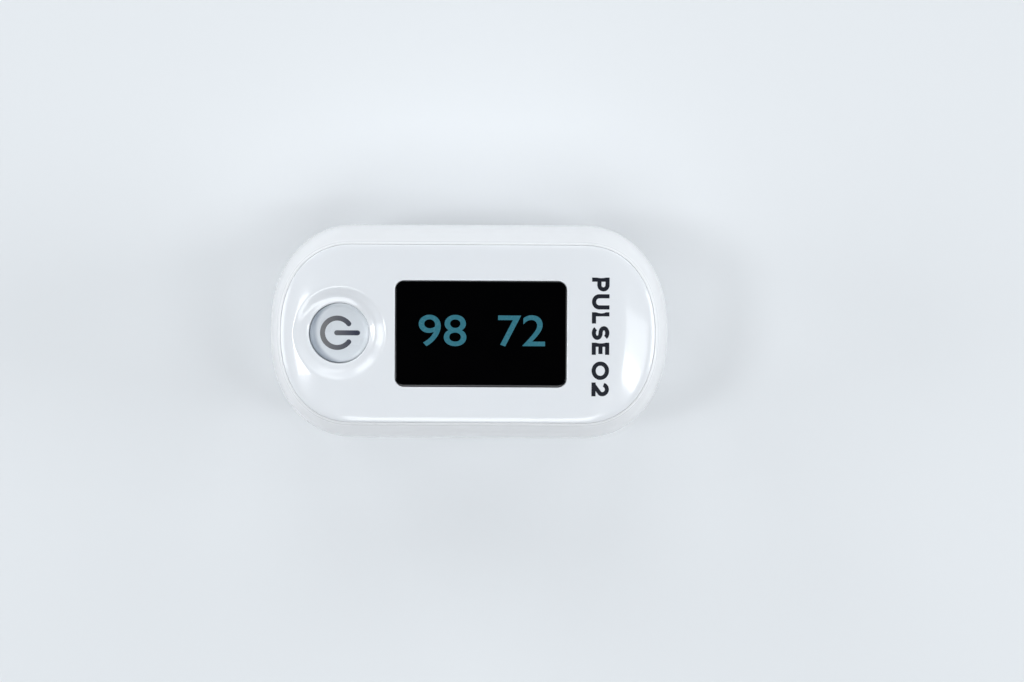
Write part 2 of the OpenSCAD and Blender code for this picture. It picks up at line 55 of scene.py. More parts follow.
# ---------------------------------------------------------------- shape of the case, in mm
BODY_L, BODY_W, H = 61.4, 33.0, 32.0
A, B = BODY_L / 2, BODY_W / 2
PART_Z, WALL, SEAM = 17.6, 1.6, 0.3
PANEL_A, PANEL_B, END_DROP, PANEL_T, DECK_T = 28.15, 13.3, 1.8, 1.4, 1.3
HAIR = 0.03         # visible seam beside the panel
PILLOW = 0.6
CAP_S, CAP_N = 17.25, 2.2
RIM_Z = H - 0.8
HINGE_X, HINGE_Z, TAIL_SLOPE = 15.5, PART_Z, 0.2
WIN_X, WIN_L, WIN_W, WIN_R = 2.0, 25.6, 15.8, 1.3
BTN_X, BTN_R, DISH_R = -19.3, 4.55, 7.0
UPPER_CZ, LOWER_CZ, CH_R, PAD_T = PART_Z - 4.3, PART_Z + 4.3, 8.7, 1.0
TROUGH_RO = CH_R + PAD_T + 1.0
SKIN = 0.03          # the moulded top stands this far under the CAD top, so that ink stays inside it
LOW_Z = [0, 0.3, 0.8, 1.6, 4, 8, 12, 17.6]
LOW_DA = [4.0, 3.35, 2.85, 2.4, 1.65, 0.85, 0.35, 0]
LOW_DB = [4.0, 3.35, 2.85, 2.45, 1.7, 0.9, 0.4, 0]


def pchip(xs, ys):
    """Smooth curve through points that never overshoots them."""
    xs, ys = np.array(xs, float), np.array(ys, float)
    h, d = np.diff(xs), np.diff(ys) / np.diff(xs)
    m = np.zeros_like(ys)
    m[0], m[-1] = d[0], d[-1]
    for i in range(1, len(xs) - 1):
        if d[i - 1] * d[i] > 0:
            w1, w2 = 2 * h[i] + h[i - 1], h[i] + 2 * h[i - 1]
            m[i] = (w1 + w2) / (w1 / d[i - 1] + w2 / d[i])

    def f(x):
        x = np.clip(np.asarray(x, float), xs[0], xs[-1])
        i = np.clip(np.searchsorted(xs, x, side="right") - 1, 0, len(xs) - 2)
        t = (x - xs[i]) / h[i]
        return (ys[i] * (1 + 2 * t) * (1 - t) ** 2 + m[i] * h[i] * t * (1 - t) ** 2
                + ys[i + 1] * t * t * (3 - 2 * t) + m[i + 1] * h[i] * t * t * (t - 1))
    return f


low_da, low_db = pchip(LOW_Z, LOW_DA), pchip(LOW_Z, LOW_DB)


def drop(x, y):
    """How far the face falls toward its two ends, and, near them, toward its long sides."""
    x, q = np.abs(x), (np.asarray(y) / PANEL_B) ** 2
    e = np.maximum(0, x - 18.5) / (PANEL_A - 18.5)
    return END_DROP * e ** 2.4 * (0.85 + 0.3 * q) + PILLOW * smooth((x - 14) / 9) * q


def tail(x):
    return np.maximum(0, np.asarray(x) - HINGE_X) * TAIL_SLOPE


def smooth(t):
    t = np.clip(t, 0, 1)
    return t * t * (3 - 2 * t)


def ring_keys(seg=44, straight=12):
    """(kx, ex, sy) of each point round the outline: x = kx*CAP_S + ex*(a-CAP_S), y = sy*b."""
    out = []
    p = 2 / CAP_N
    def arc(deg0, deg1, sx):
        for i in range(seg):
            t = math.radians(deg0 + (deg1 - deg0) * i / seg)
            c, s = math.cos(t), math.sin(t)
            out.append((sx, sx * abs(c) ** p, math.copysign(abs(s) ** p, s)))
    def line(s, x0, x1):
        for i in range(straight):
            out.append((x0 + (x1 - x0) * i / straight, 0.0, s))
    arc(0, 90, 1)
    line(1, 1, -1)
    arc(90, 180, -1)
    arc(180, 270, -1)
    line(-1, -1, 1)
    arc(270, 360, 1)
    return np.array(out)


KEYS = ring_keys()


def plan(a, b):
    a, b = np.broadcast_to(a, len(KEYS)), np.broadcast_to(b, len(KEYS))
    return KEYS[:, 0] * CAP_S + KEYS[:, 1] * (a - CAP_S), KEYS[:, 2] * b


# ---------------------------------------------------------------- mesh helpers
def make(name, verts, faces, sharp=35, fix=True):
    me = bpy.data.meshes.new(name)
    me.from_pydata([tuple(c * MM for c in v) for v in verts], [], [tuple(int(i) for i in f) for f in faces])
    o = bpy.data.objects.new(name, me)
    scene.collection.objects.link(o)
    if fix:
        tidy(o, sharp)
    return o


def tidy(o, sharp=35):
    bm = bmesh.new()
    bm.from_mesh(o.data)
    bmesh.ops.remove_doubles(bm, verts=bm.verts, dist=2e-7)
    bmesh.ops.dissolve_degenerate(bm, edges=bm.edges, dist=1e-7)
    bmesh.ops.recalc_face_normals(bm, faces=bm.faces)
    bm.to_mesh(o.data)
    bm.free()
    shade(o, sharp)


def shade(o, sharp=35):
    o.data.shade_smooth()
    o.data.set_sharp_from_angle(angle=math.radians(sharp))


def applied(o):
    """Bakes the modifiers into the mesh."""
    dg = bpy.context.evaluated_depsgraph_get()
    me = bpy.data.meshes.new_from_object(o.evaluated_get(dg))
    o.modifiers.clear()
    o.data = me
    return o


def boolean(o, cutters, op="DIFFERENCE"):
    for c in cutters:
        m = o.modifiers.new("b", "BOOLEAN")
        m.operation, m.object, m.solver = op, c, "EXACT"
        applied(o)
        bpy.data.objects.remove(c)
    return o


def loft(rings):
    """Verts and faces of a closed skin through rings of equal length."""
    n = len(rings[0])
    verts = [tuple(p) for r in rings for p in r]
    faces = []
    for j in range(len(rings) - 1):
        for i in range(n):
            k = (i + 1) % n
            faces.append((j * n + i, j * n + k, (j + 1) * n + k, (j + 1) * n + i))
    for r, base in ((rings[0], 0), (rings[-1], (len(rings) - 1) * n)):
        verts.append(tuple(np.mean(np.array(r), axis=0)))
        c = len(verts) - 1
        faces += [(c, base + i, base + (i + 1) % n) for i in range(n)]
    return verts, faces


def cyl(r, p0, p1, n=128, r2=None):
    """Cylinder from p0 to p1."""
    p0, p1 = Vector(p0), Vector(p1)
    d = (p1 - p0).normalized()
    u = d.orthogonal().normalized()
    v = d.cross(u)
    r2 = r if r2 is None else r2
    rings = [[p + rr * (math.cos(2 * math.pi * i / n) * u + math.sin(2 * math.pi * i / n) * v) for i in range(n)]
             for p, rr in ((p0, r), (p1, r2))]
    verts = [tuple(q) for ring in rings for q in ring]
    faces = [(i, (i + 1) % n, n + (i + 1) % n, n + i) for i in range(n)]
    faces += [tuple(range(n))[::-1], tuple(range(n, 2 * n))]
    return make("cyl", verts, faces)


def block(x0, x1, y0, y1, z0, z1, bevel=0):
    bm = bmesh.new()
    bmesh.ops.create_cube(bm, size=1)
    for v in bm.verts:
        v.co = Vector(((x0 + x1) / 2 + v.co.x * (x1 - x0), (y0 + y1) / 2 + v.co.y * (y1 - y0), (z0 + z1) / 2 + v.co.z * (z1 - z0))) * MM
    if bevel:
        bmesh.ops.bevel(bm, geom=bm.edges[:], offset=bevel * MM, segments=3, profile=0.5, affect="EDGES")
    me = bpy.data.meshes.new("block")
    bm.to_mesh(me)
    bm.free()
    o = bpy.data.objects.new("block", me)
    scene.collection.objects.link(o)
    return o


def rounded_loop(l, w, r, cx, n=10):
    """Points round a rounded rectangle centred on (cx, 0)."""
    out = []
    for k, (sx, sy) in enumerate(((1, 1), (-1, 1), (-1, -1), (1, -1))):
        ox, oy = cx + sx * (l / 2 - r), sy * (w / 2 - r)
        for i in range(n + 1):
            t = math.pi / 2 * (k + i / n)
            out.append((ox + r * math.cos(t), oy + r * math.sin(t)))
    return out


def spaced(loop, step):
    """Adds points so that no side of the closed loop is longer than step."""
    out = []
    for i, p in enumerate(loop):
        q = loop[(i + 1) % len(loop)]
        k = max(1, int(math.ceil(math.dist(p, q) / step)))
        out += [(p[0] + (q[0] - p[0]) * j / k, p[1] + (q[1] - p[1]) * j / k) for j in range(k)]
    return out


def prism(loop, z0, z1):
    n = len(loop)
    verts = [(x, y, z0) for x, y in loop] + [(x, y, z1) for x, y in loop]
    faces = [(i, (i + 1) % n, n + (i + 1) % n, n + i) for i in range(n)]
    faces += [tuple(range(n))[::-1], tuple(range(n, 2 * n))]
    return make("prism", verts, faces)


def lathe(name, profile, centre, axis="Z", n=96, sharp=35):
    """Turns (radius, height) points about an axis through centre; a radius of 0 closes the end."""
    verts, rows = [], []
    for r, h in profile:
        if r < 1e-6:
            rows.append([len(verts)])
            verts.append((0, 0, h))
        else:
            rows.append(list(range(len(verts), len(verts) + n)))
            verts += [(r * math.cos(2 * math.pi * i / n), r * math.sin(2 * math.pi * i / n), h) for i in range(n)]
    faces = []
    for a, b in zip(rows, rows[1:]):
        for i in range(n):
            k = (i + 1) % n
            if len(a) == 1 and len(b) > 1:
                faces.append((a[0], b[i], b[k]))
            elif len(b) == 1 and len(a) > 1:
                faces.append((a[i], a[k], b[0]))
            elif len(a) > 1:
                faces.append((a[i], a[k], b[k], b[i]))
    cx, cy, cz = centre
    if axis == "X":
        verts = [(cx + z, cy + x, cz + y) for x, y, z in verts]
    elif axis == "-X":
        verts = [(cx - z, cy - x, cz + y) for x, y, z in verts]
    elif axis == "-Z":
        verts = [(cx + x, cy - y, cz - z) for x, y, z in verts]
    else:
        verts = [(cx + x, cy + y, cz + z) for x, y, z in verts]
    return make(name, verts, faces, sharp)


def tube(name, path, r, sides=14):
    """A round wire along points, with flat ends; its rings turn as little as they can."""
    path = [Vector(p) for p in path]
    n = len(path)
    tang = [(path[min(i + 1, n - 1)] - path[max(i - 1, 0)]).normalized() for i in range(n)]
    u = tang[0].orthogonal().normalized()
    verts = []
    for i in range(n):
        u = (u - tang[i] * u.dot(tang[i])).normalized()
        v = tang[i].cross(u)
        verts += [tuple(path[i] + r * (math.cos(2 * math.pi * s / sides) * u + math.sin(2 * math.pi * s / sides) * v)) for s in range(sides)]
    faces = [(j * sides + s, j * sides + (s + 1) % sides, (j + 1) * sides + (s + 1) % sides, (j + 1) * sides + s) for j in range(n - 1) for s in range(sides)]
    faces += [tuple(range(sides))[::-1], tuple(range((n - 1) * sides, n * sides))]
    return make(name, verts, faces, 50)


def curve_through(pts, per=8):
    """Catmull-Rom points through pts."""
    p = [Vector(q) for q in pts]
    p = [2 * p[0] - p[1]] + p + [2 * p[-1] - p[-2]]
    out = []
    for i in range(1, len(p) - 2):
        for k in range(per):
            t = k / per
            out.append(0.5 * ((2 * p[i]) + (p[i + 1] - p[i - 1]) * t + (2 * p[i - 1] - 5 * p[i] + 4 * p[i + 1] - p[i + 2]) * t * t
                              + (3 * p[i] - p[i - 1] - 3 * p[i + 1] + p[i + 2]) * t ** 3))
    out.append(p[-2])
    return out


# ---------------------------------------------------------------- materials
def material(name, color, rough, metallic=0.0, spread=0.03, scale=900.0, bump=0.02, bump_scale=2500.0, coat=0.0, coat_rough=0.05,
             rough_spread=0.06, ior=1.46, sub=0.0, alpha=None, emit=None, strength=0.0, stretch=None, transmission=0.0):
    """Plastic, metal or rubber with uneven colour and gloss and a fine surface, all in the object's own space."""
    m = bpy.data.materials.new(name)
    m.use_nodes = True
    nt = m.node_tree
    p = nt.nodes["Principled BSDF"]
    L = nt.links.new
    tc = nt.nodes.new("ShaderNodeTexCoord")
    mp = nt.nodes.new("ShaderNodeMapping")
    if stretch:
        mp.inputs["Scale"].default_value = stretch
    L(tc.outputs["Object"], mp.inputs["Vector"])
    n1 = nt.nodes.new("ShaderNodeTexNoise")
    n1.inputs["Scale"].default_value = scale
    n1.inputs["Detail"].default_value = 4
    L(mp.outputs["Vector"], n1.inputs["Vector"])
    cr = nt.nodes.new("ShaderNodeValToRGB")
    cr.color_ramp.elements[0].position, cr.color_ramp.elements[1].position = 0.3, 0.7
    for e, k in ((cr.color_ramp.elements[0], 1 - spread), (cr.color_ramp.elements[1], 1 + spread)):
        e.color = (*[min(1.0, c * k) for c in color], 1)
    L(n1.outputs["Fac"], cr.inputs["Fac"])
    L(cr.outputs["Color"], p.inputs["Base Color"])
    n2 = nt.nodes.new("ShaderNodeTexNoise")
    n2.inputs["Scale"].default_value = scale * 0.35
    n2.inputs["Detail"].default_value = 5
    L(mp.outputs["Vector"], n2.inputs["Vector"])
    mr = nt.nodes.new("ShaderNodeMapRange")
    mr.inputs["From Min"].default_value, mr.inputs["From Max"].default_value = 0.3, 0.7
    mr.inputs["To Min"].default_value = max(0.02, rough - rough_spread)
    mr.inputs["To Max"].default_value = min(1.0, rough + rough_spread)
    L(n2.outputs["Fac"], mr.inputs["Value"])
    L(mr.outputs["Result"], p.inputs["Roughness"])
    n3 = nt.nodes.new("ShaderNodeTexNoise")
    n3.inputs["Scale"].default_value = bump_scale
    n3.inputs["Detail"].default_value = 3
    L(mp.outputs["Vector"], n3.inputs["Vector"])
    bp = nt.nodes.new("ShaderNodeBump")
    bp.inputs["Strength"].default_value = bump
    bp.inputs["Distance"].default_value = 0.0001
    L(n3.outputs["Fac"], bp.inputs["Height"])
    L(bp.outputs["Normal"], p.inputs["Normal"])
    p.inputs["Metallic"].default_value = metallic
    p.inputs["IOR"].default_value = ior
    p.inputs["Coat Weight"].default_value = coat
    p.inputs["Coat Roughness"].default_value = coat_rough
    if sub:
        p.inputs["Subsurface Weight"].default_value = sub
        p.inputs["Subsurface Radius"].default_value = (0.0012, 0.0011, 0.001)
        p.inputs["Subsurface Scale"].default_value = 1.0
    if alpha is not None:
        p.inputs["Alpha"].default_value = alpha
    if transmission:
        p.inputs["Transmission Weight"].default_value = transmission
    if emit:
        p.inputs["Emission Color"].default_value = (*emit, 1)
        p.inputs["Emission Strength"].default_value = strength
    return m


def banded(m, axis, scale, dark, share=0.5):
    """Mixes stripes across the given object axis into a material's colour, such as copper traces in a ribbon."""
    nt = m.node_tree
    L = nt.links.new
    p = nt.nodes["Principled BSDF"]
    old = p.inputs["Base Color"].links[0].from_socket
    tc = nt.nodes.new("ShaderNodeTexCoord")
    sp = nt.nodes.new("ShaderNodeSeparateXYZ")
    L(tc.outputs["Object"], sp.inputs["Vector"])
    mu = nt.nodes.new("ShaderNodeMath")
    mu.operation = "MULTIPLY"
    mu.inputs[1].default_value = scale
    L(sp.outputs[axis], mu.inputs[0])
    fr = nt.nodes.new("ShaderNodeMath")
    fr.operation = "FRACT"
    L(mu.outputs[0], fr.inputs[0])
    gt = nt.nodes.new("ShaderNodeMath")
    gt.operation = "GREATER_THAN"
    gt.inputs[1].default_value = share
    L(fr.outputs[0], gt.inputs[0])
    mx = nt.nodes.new("ShaderNodeMix")
    mx.data_type = "RGBA"
    L(gt.outputs[0], mx.inputs["Factor"])
    L(old, mx.inputs["A"])
    mx.inputs["B"].default_value = (*dark, 1)
    L(mx.outputs["Result"], p.inputs["Base Color"])
    return m


WHITE = material("gloss_shell", (0.80, 0.803, 0.812), 0.24, spread=0.004, scale=420, bump=0.010, bump_scale=2600, coat=0.35, coat_rough=0.12, rough_spread=0.02, sub=0.05)
PANEL = material("gloss_panel", (0.80, 0.815, 0.838), 0.16, spread=0.004, scale=420, bump=0.005, bump_scale=2200, coat=0.5, coat_rough=0.05, rough_spread=0.015, sub=0.05)
BUTTON = material("button_plastic", (0.74, 0.775, 0.81), 0.30, spread=0.012, scale=500, bump=0.015, bump_scale=2600, coat=0.2, coat_rough=0.15)
INNER = material("inner_plastic", (0.66, 0.67, 0.69), 0.50, spread=0.02, scale=420, bump=0.12, bump_scale=9000)
SILICONE = material("silicone", (0.045, 0.048, 0.054), 0.48, spread=0.10, scale=600, bump=0.10, bump_scale=7000, rough_spread=0.09)
STEEL = material("spring_steel", (0.52, 0.53, 0.55), 0.28, metallic=1.0, spread=0.035, scale=1400, bump=0.025, bump_scale=3200, rough_spread=0.07)
CONTACT = material("nickel_contact", (0.66, 0.63, 0.56), 0.26, metallic=1.0, spread=0.05, scale=1100, bump=0.05, bump_scale=4000, rough_spread=0.10)
PCB = banded(material("solder_mask", (0.012, 0.12, 0.05), 0.34, spread=0.10, scale=700, bump=0.10, bump_scale=1500, coat=0.3), "Y", 900, (0.03, 0.20, 0.09), 0.72)
CHIP = material("chip_epoxy", (0.022, 0.022, 0.025), 0.55, spread=0.12, scale=2400, bump=0.15, bump_scale=9000)
CERAMIC = material("chip_ceramic", (0.42, 0.32, 0.20), 0.42, spread=0.08, scale=3000, bump=0.08, bump_scale=9000)
NYLON = material("connector_nylon", (0.62, 0.57, 0.45), 0.48, spread=0.04, scale=1500, bump=0.06, bump_scale=6000)
LENS = material("lens_epoxy", (0.80, 0.84, 0.88), 0.06, spread=0.02, scale=500, bump=0.01, bump_scale=1500, transmission=0.85, ior=1.52, rough_spread=0.02)
FLEX = banded(material("polyimide", (0.42, 0.17, 0.02), 0.28, spread=0.08, scale=900, bump=0.03, bump_scale=3000, coat=0.4), "Y", 1800, (0.52, 0.26, 0.09), 0.5)
FOAM = material("gasket_foam", (0.012, 0.012, 0.013), 0.9, spread=0.25, scale=5000, bump=0.5, bump_scale=9000)
GLASS = material("window_acrylic", (0.0006, 0.0006, 0.0008), 0.07, spread=0.05, scale=300, bump=0.003, bump_scale=900, ior=1.45, rough_spread=0.02)
OLED = material("display_glass", (0.004, 0.004, 0.007), 0.10, spread=0.10, scale=700, bump=0.004, bump_scale=900, rough_spread=0.03)
INK = material("label_ink", (0.004, 0.006, 0.013), 0.50, ior=1.3, spread=0.12, scale=2500, bump=0.05, bump_scale=8000)
LIT = material("lit_pixels", (0.004, 0.02, 0.03), 0.25, spread=0.10, scale=6000, bump=0.01, emit=(0.026, 0.155, 0.205), strength=0.85)
SLEEVE = material("cell_sleeve", (0.02, 0.07, 0.26), 0.24, spread=0.08, scale=500, bump=0.02, bump_scale=1200, coat=0.4)
BAND = material("cell_band", (0.55, 0.33, 0.08), 0.26, metallic=0.9, spread=0.06, scale=700, bump=0.02, bump_scale=1500)
CAN = material("cell_steel", (0.60, 0.60, 0.60), 0.28, metallic=1.0, spread=0.05, scale=1500, bump=0.05, bump_scale=3500, rough_spread=0.10)

def graded(m, axis, at0, at1, color0, color1):
    """Gives a material's colour a slow change along one object axis, in metres."""
    nt = m.node_tree
    L = nt.links.new
    p = nt.nodes["Principled BSDF"]
    old = p.inputs["Base Color"].links[0].from_socket
    tc, sp, mr, mx, mu = (nt.nodes.new("ShaderNode" + k) for k in ("TexCoord", "SeparateXYZ", "MapRange", "Mix", "Mix"))
    L(tc.outputs["Object"], sp.inputs["Vector"])
    L(sp.outputs[axis], mr.inputs["Value"])
    mr.inputs["From Min"].default_value, mr.inputs["From Max"].default_value = at0, at1
    mx.data_type = mu.data_type = "RGBA"
    mx.inputs["A"].default_value, mx.inputs["B"].default_value = (*color0, 1), (*color1, 1)
    L(mr.outputs["Result"], mx.inputs["Factor"])
    mu.blend_type = "MULTIPLY"
    mu.inputs["Factor"].default_value = 1.0
    L(mx.outputs["Result"], mu.inputs["A"])
    L(old, mu.inputs["B"])
    L(mu.outputs["Result"], p.inputs["Base Color"])
    return m


def painted_shadow_crescent(m, centre, near, far, tint):
    """Painted shadow: deepens a material's colour away from a point of the object's own XY plane, in metres, so that
    shade lies on the side far from the point.
    """
    nt = m.node_tree
    L = nt.links.new
    p = nt.nodes["Principled BSDF"]
    old = p.inputs["Base Color"].links[0].from_socket
    tc, flat, dist, mr, mx, mu = (nt.nodes.new("ShaderNode" + k) for k in ("TexCoord", "VectorMath", "VectorMath", "MapRange", "Mix", "Mix"))
    flat.operation, dist.operation, mr.interpolation_type = "MULTIPLY", "DISTANCE", "SMOOTHSTEP"
    flat.inputs[1].default_value = (1, 1, 0)
    dist.inputs[1].default_value = (*centre, 0)
    L(tc.outputs["Object"], flat.inputs[0])
    L(flat.outputs["Vector"], dist.inputs[0])
    L(dist.outputs["Value"], mr.inputs["Value"])
    mr.inputs["From Min"].default_value, mr.inputs["From Max"].default_value = near, far
    mx.data_type = mu.data_type = "RGBA"
    mx.inputs["A"].default_value, mx.inputs["B"].default_value = (1, 1, 1, 1), (*tint, 1)
    L(mr.outputs["Result"], mx.inputs["Factor"])
    mu.blend_type = "MULTIPLY"
    mu.inputs["Factor"].default_value = 1.0
    L(mx.outputs["Result"], mu.inputs["A"])
    L(old, mu.inputs["B"])
    L(mu.outputs["Result"], p.inputs["Base Color"])
    return m


# painted shadow: a dark crescent on the cap's west and south-west side, where the rim of the button's hole would cast
# shade
BUTTON = painted_shadow_crescent(BUTTON, ((BTN_X + 1.05) * MM, 0.22 * MM), 4.25 * MM, 5.0 * MM, (0.50, 0.53, 0.575))
# painted reflection: the symbol ink is its own dark navy toward +X and turns grey toward -X; the grey stands in for a
# reflection on the glossy ink
SYMBOL = graded(material("symbol_ink", (0.95, 0.95, 0.95), 0.36, spread=0.05, scale=900, bump=0.04, bump_scale=7000),
                "X", (BTN_X - 2.6) * MM, (BTN_X + 2.4) * MM, (0.20, 0.20, 0.205), (0.020, 0.025, 0.055))
NODE_MAT = {
    "shell": WHITE, "panel": PANEL, "window": GLASS, "inner": INNER, "pad": SILICONE, "steel": STEEL, "cell": SLEEVE,
    "contact": CONTACT, "pcb": PCB, "chip": CHIP, "ceramic_chip": CERAMIC, "connector": NYLON, "lens": LENS,
    "flex": FLEX, "oled": OLED, "foam": FOAM, "button": BUTTON,
}
SLOT = {s["node"]: s["material_slot"] for s in frame["record"]["subparts"]}
for name, o in NODES.items():
    o.data.materials.clear()
    o.data.materials.append(NODE_MAT[SLOT[name]])


def put(o, name, mats, body, nodes=()):
    """Names a piece, paints it and lets it ride."""
    o.name = name
    o.data.name = name
    if mats:
        o.data.materials.clear()
        for m in mats if isinstance(mats, (list, tuple)) else [mats]:
            o.data.materials.append(m)
    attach(o, body)
    if nodes:
        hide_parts(*nodes)
    return o


# ---------------------------------------------------------------- upper cover
def up_ring(z_of, inset):
    """z_of(low, top) gives each point's height."""
    px, py = plan(A, B)
    top = RIM_Z - drop(px * 0.93, py * 0.85)
    low = PART_Z + SEAM + tail(px)
    z = z_of(low, top)
    uu = np.clip((z - PART_Z) / (top - PART_Z), 0, 1)
    x, y = plan(A - 2.0 * uu ** 2.2 - inset, B - 2.75 * uu ** 1.9 - inset)
    return np.stack([x, y, z], 1)


def top_ring(a, b, h, f=1.0):
    x, y = plan(a, b)
    x, y = x * f, y * f
    return np.stack([x, y, H - h - drop(x, y)], 1)


def build_top_cover():
    d = PANEL_T + DECK_T
    a1, b1 = A - 2.0, B - 2.75
    ai, bi = a1 - WALL, b1 - WALL
    rings = [top_ring(ai, bi, d, f) for f in (0.25, 0.5, 0.7, 0.85, 0.94)]
    rings += [top_ring(ai - 0.5, bi - 0.5, d), top_ring(ai - 0.15, bi - 0.15, d + 0.12), top_ring(ai, bi, d + 0.45)]
    for u in np.linspace(0.72, 0.08, 12):
        rings.append(up_ring(lambda lo, hi, u=u: lo + u * (hi - lo), WALL))
    for k in range(5):
        t = math.radians(90 * k / 4)
        rings.append(up_ring(lambda lo, hi, t=t: lo + 0.2 * (1 - math.sin(t)), WALL - 0.2 * (1 - math.cos(t))))
    for k in range(6):
        t = math.radians(90 * k / 5)
        rings.append(up_ring(lambda lo, hi, t=t: lo + 0.32 * (1 - math.cos(t)), 0.32 * (1 - math.sin(t))))
    for u in np.linspace(0.05, 0.97, 30):
        rings.append(up_ring(lambda lo, hi, u=u: lo + u * (hi - lo), 0))
    # rounded rim, down into the seam beside the panel
    for f, h in ((0.0, 0.8), (0.04, 0.67), (0.11, 0.55), (0.22, 0.45), (0.36, 0.37), (0.52, 0.31), (0.68, 0.275), (0.80, 0.26), (0.90, 0.26), (0.97, 0.28), (1.0, 0.32)):
        rings.append(top_ring(a1 - f * (a1 - PANEL_A - HAIR), b1 - f * (b1 - PANEL_B - HAIR), h))
    rings.append(top_ring(PANEL_A + HAIR, PANEL_B + HAIR, PANEL_T + 0.1))
    rings += [top_ring(PANEL_A + HAIR, PANEL_B + HAIR, PANEL_T + 0.1, f) for f in (0.94, 0.85, 0.7, 0.5, 0.25)]
    o = make("top_cover_shell", *loft(rings))
    boolean(o, [cyl(TROUGH_RO + 0.15, (-A - 1, 0, UPPER_CZ), (-20, 0, UPPER_CZ), 256),
                cyl(BTN_R, (BTN_X, 0, 27), (BTN_X, 0, 33), 128),
                prism(rounded_loop(WIN_L - 1.4, WIN_W - 1.4, 0.8, WIN_X), 27, 33)])
    for x, y, up in ((-14, 12.2, 1), (-14, -12.2, 1), (24, 8.5, 0), (24, -8.5, 0)):
        z0 = PART_Z + (1.0 if up else 3.5) + 1.3
        boolean(o, [cyl(1.6, (x, y, z0), (x, y, z0 + (9.6 if up else 6.2)), 40)], "UNION")
        boolean(o, [cyl(0.7, (x, y, 18), (x, y, 24.5 if up else 26.8), 32)])
    for y in (10.6, -10.6):
        boolean(o, [cyl(1.5, (18.4, y, 25.6), (18.4, y, 29.6), 40)], "UNION")
        boolean(o, [cyl(0.6, (18.4, y, 25), (18.4, y, 28.2), 32)])
    tidy(o, 32)
    return put(o, "top_cover_shell", WHITE, "upper_jaw", ["top_cover"])


build_top_cover()

# ---------------------------------------------------------------- front panel with its dish and window opening
dish = pchip([4.55, 4.60, 4.70, 4.85, 5.1, 5.45, 5.85, 6.3, 6.7, 7.0, 7.3], [1.34, 1.18, 1.09, 1.05, 1.01, 0.93, 0.74, 0.43, 0.16, 0.03, 0.0])


def panel_top(x, y, edge):
    """Height of the panel's face. edge is how far in from the outline, up to 0.9."""
    r = np.hypot(x - BTN_X, y)
    s = smooth((r - 4.8) / 2.5)
    fil = 0.14 * np.clip(1 - edge / 0.9, 0, 1) ** 2 + 0.09 * np.clip(1 - edge / 0.15, 0, 1) ** 2
    wx = np.maximum(np.abs(x - WIN_X) - (WIN_L / 2 - WIN_R), 0)
    wy = np.maximum(np.abs(y) - (WIN_W / 2 - WIN_R), 0)
    wd = np.hypot(wx, wy) - WIN_R - 0.05
    q = np.clip(1 - wd / 0.22, 0, 1)
    cham = 0.20 * (1 - np.sqrt(1 - 0.96 * q * q))
    return H - SKIN - drop(x, y) * s - np.where(r < 7.3, dish(r), 0) - fil - cham


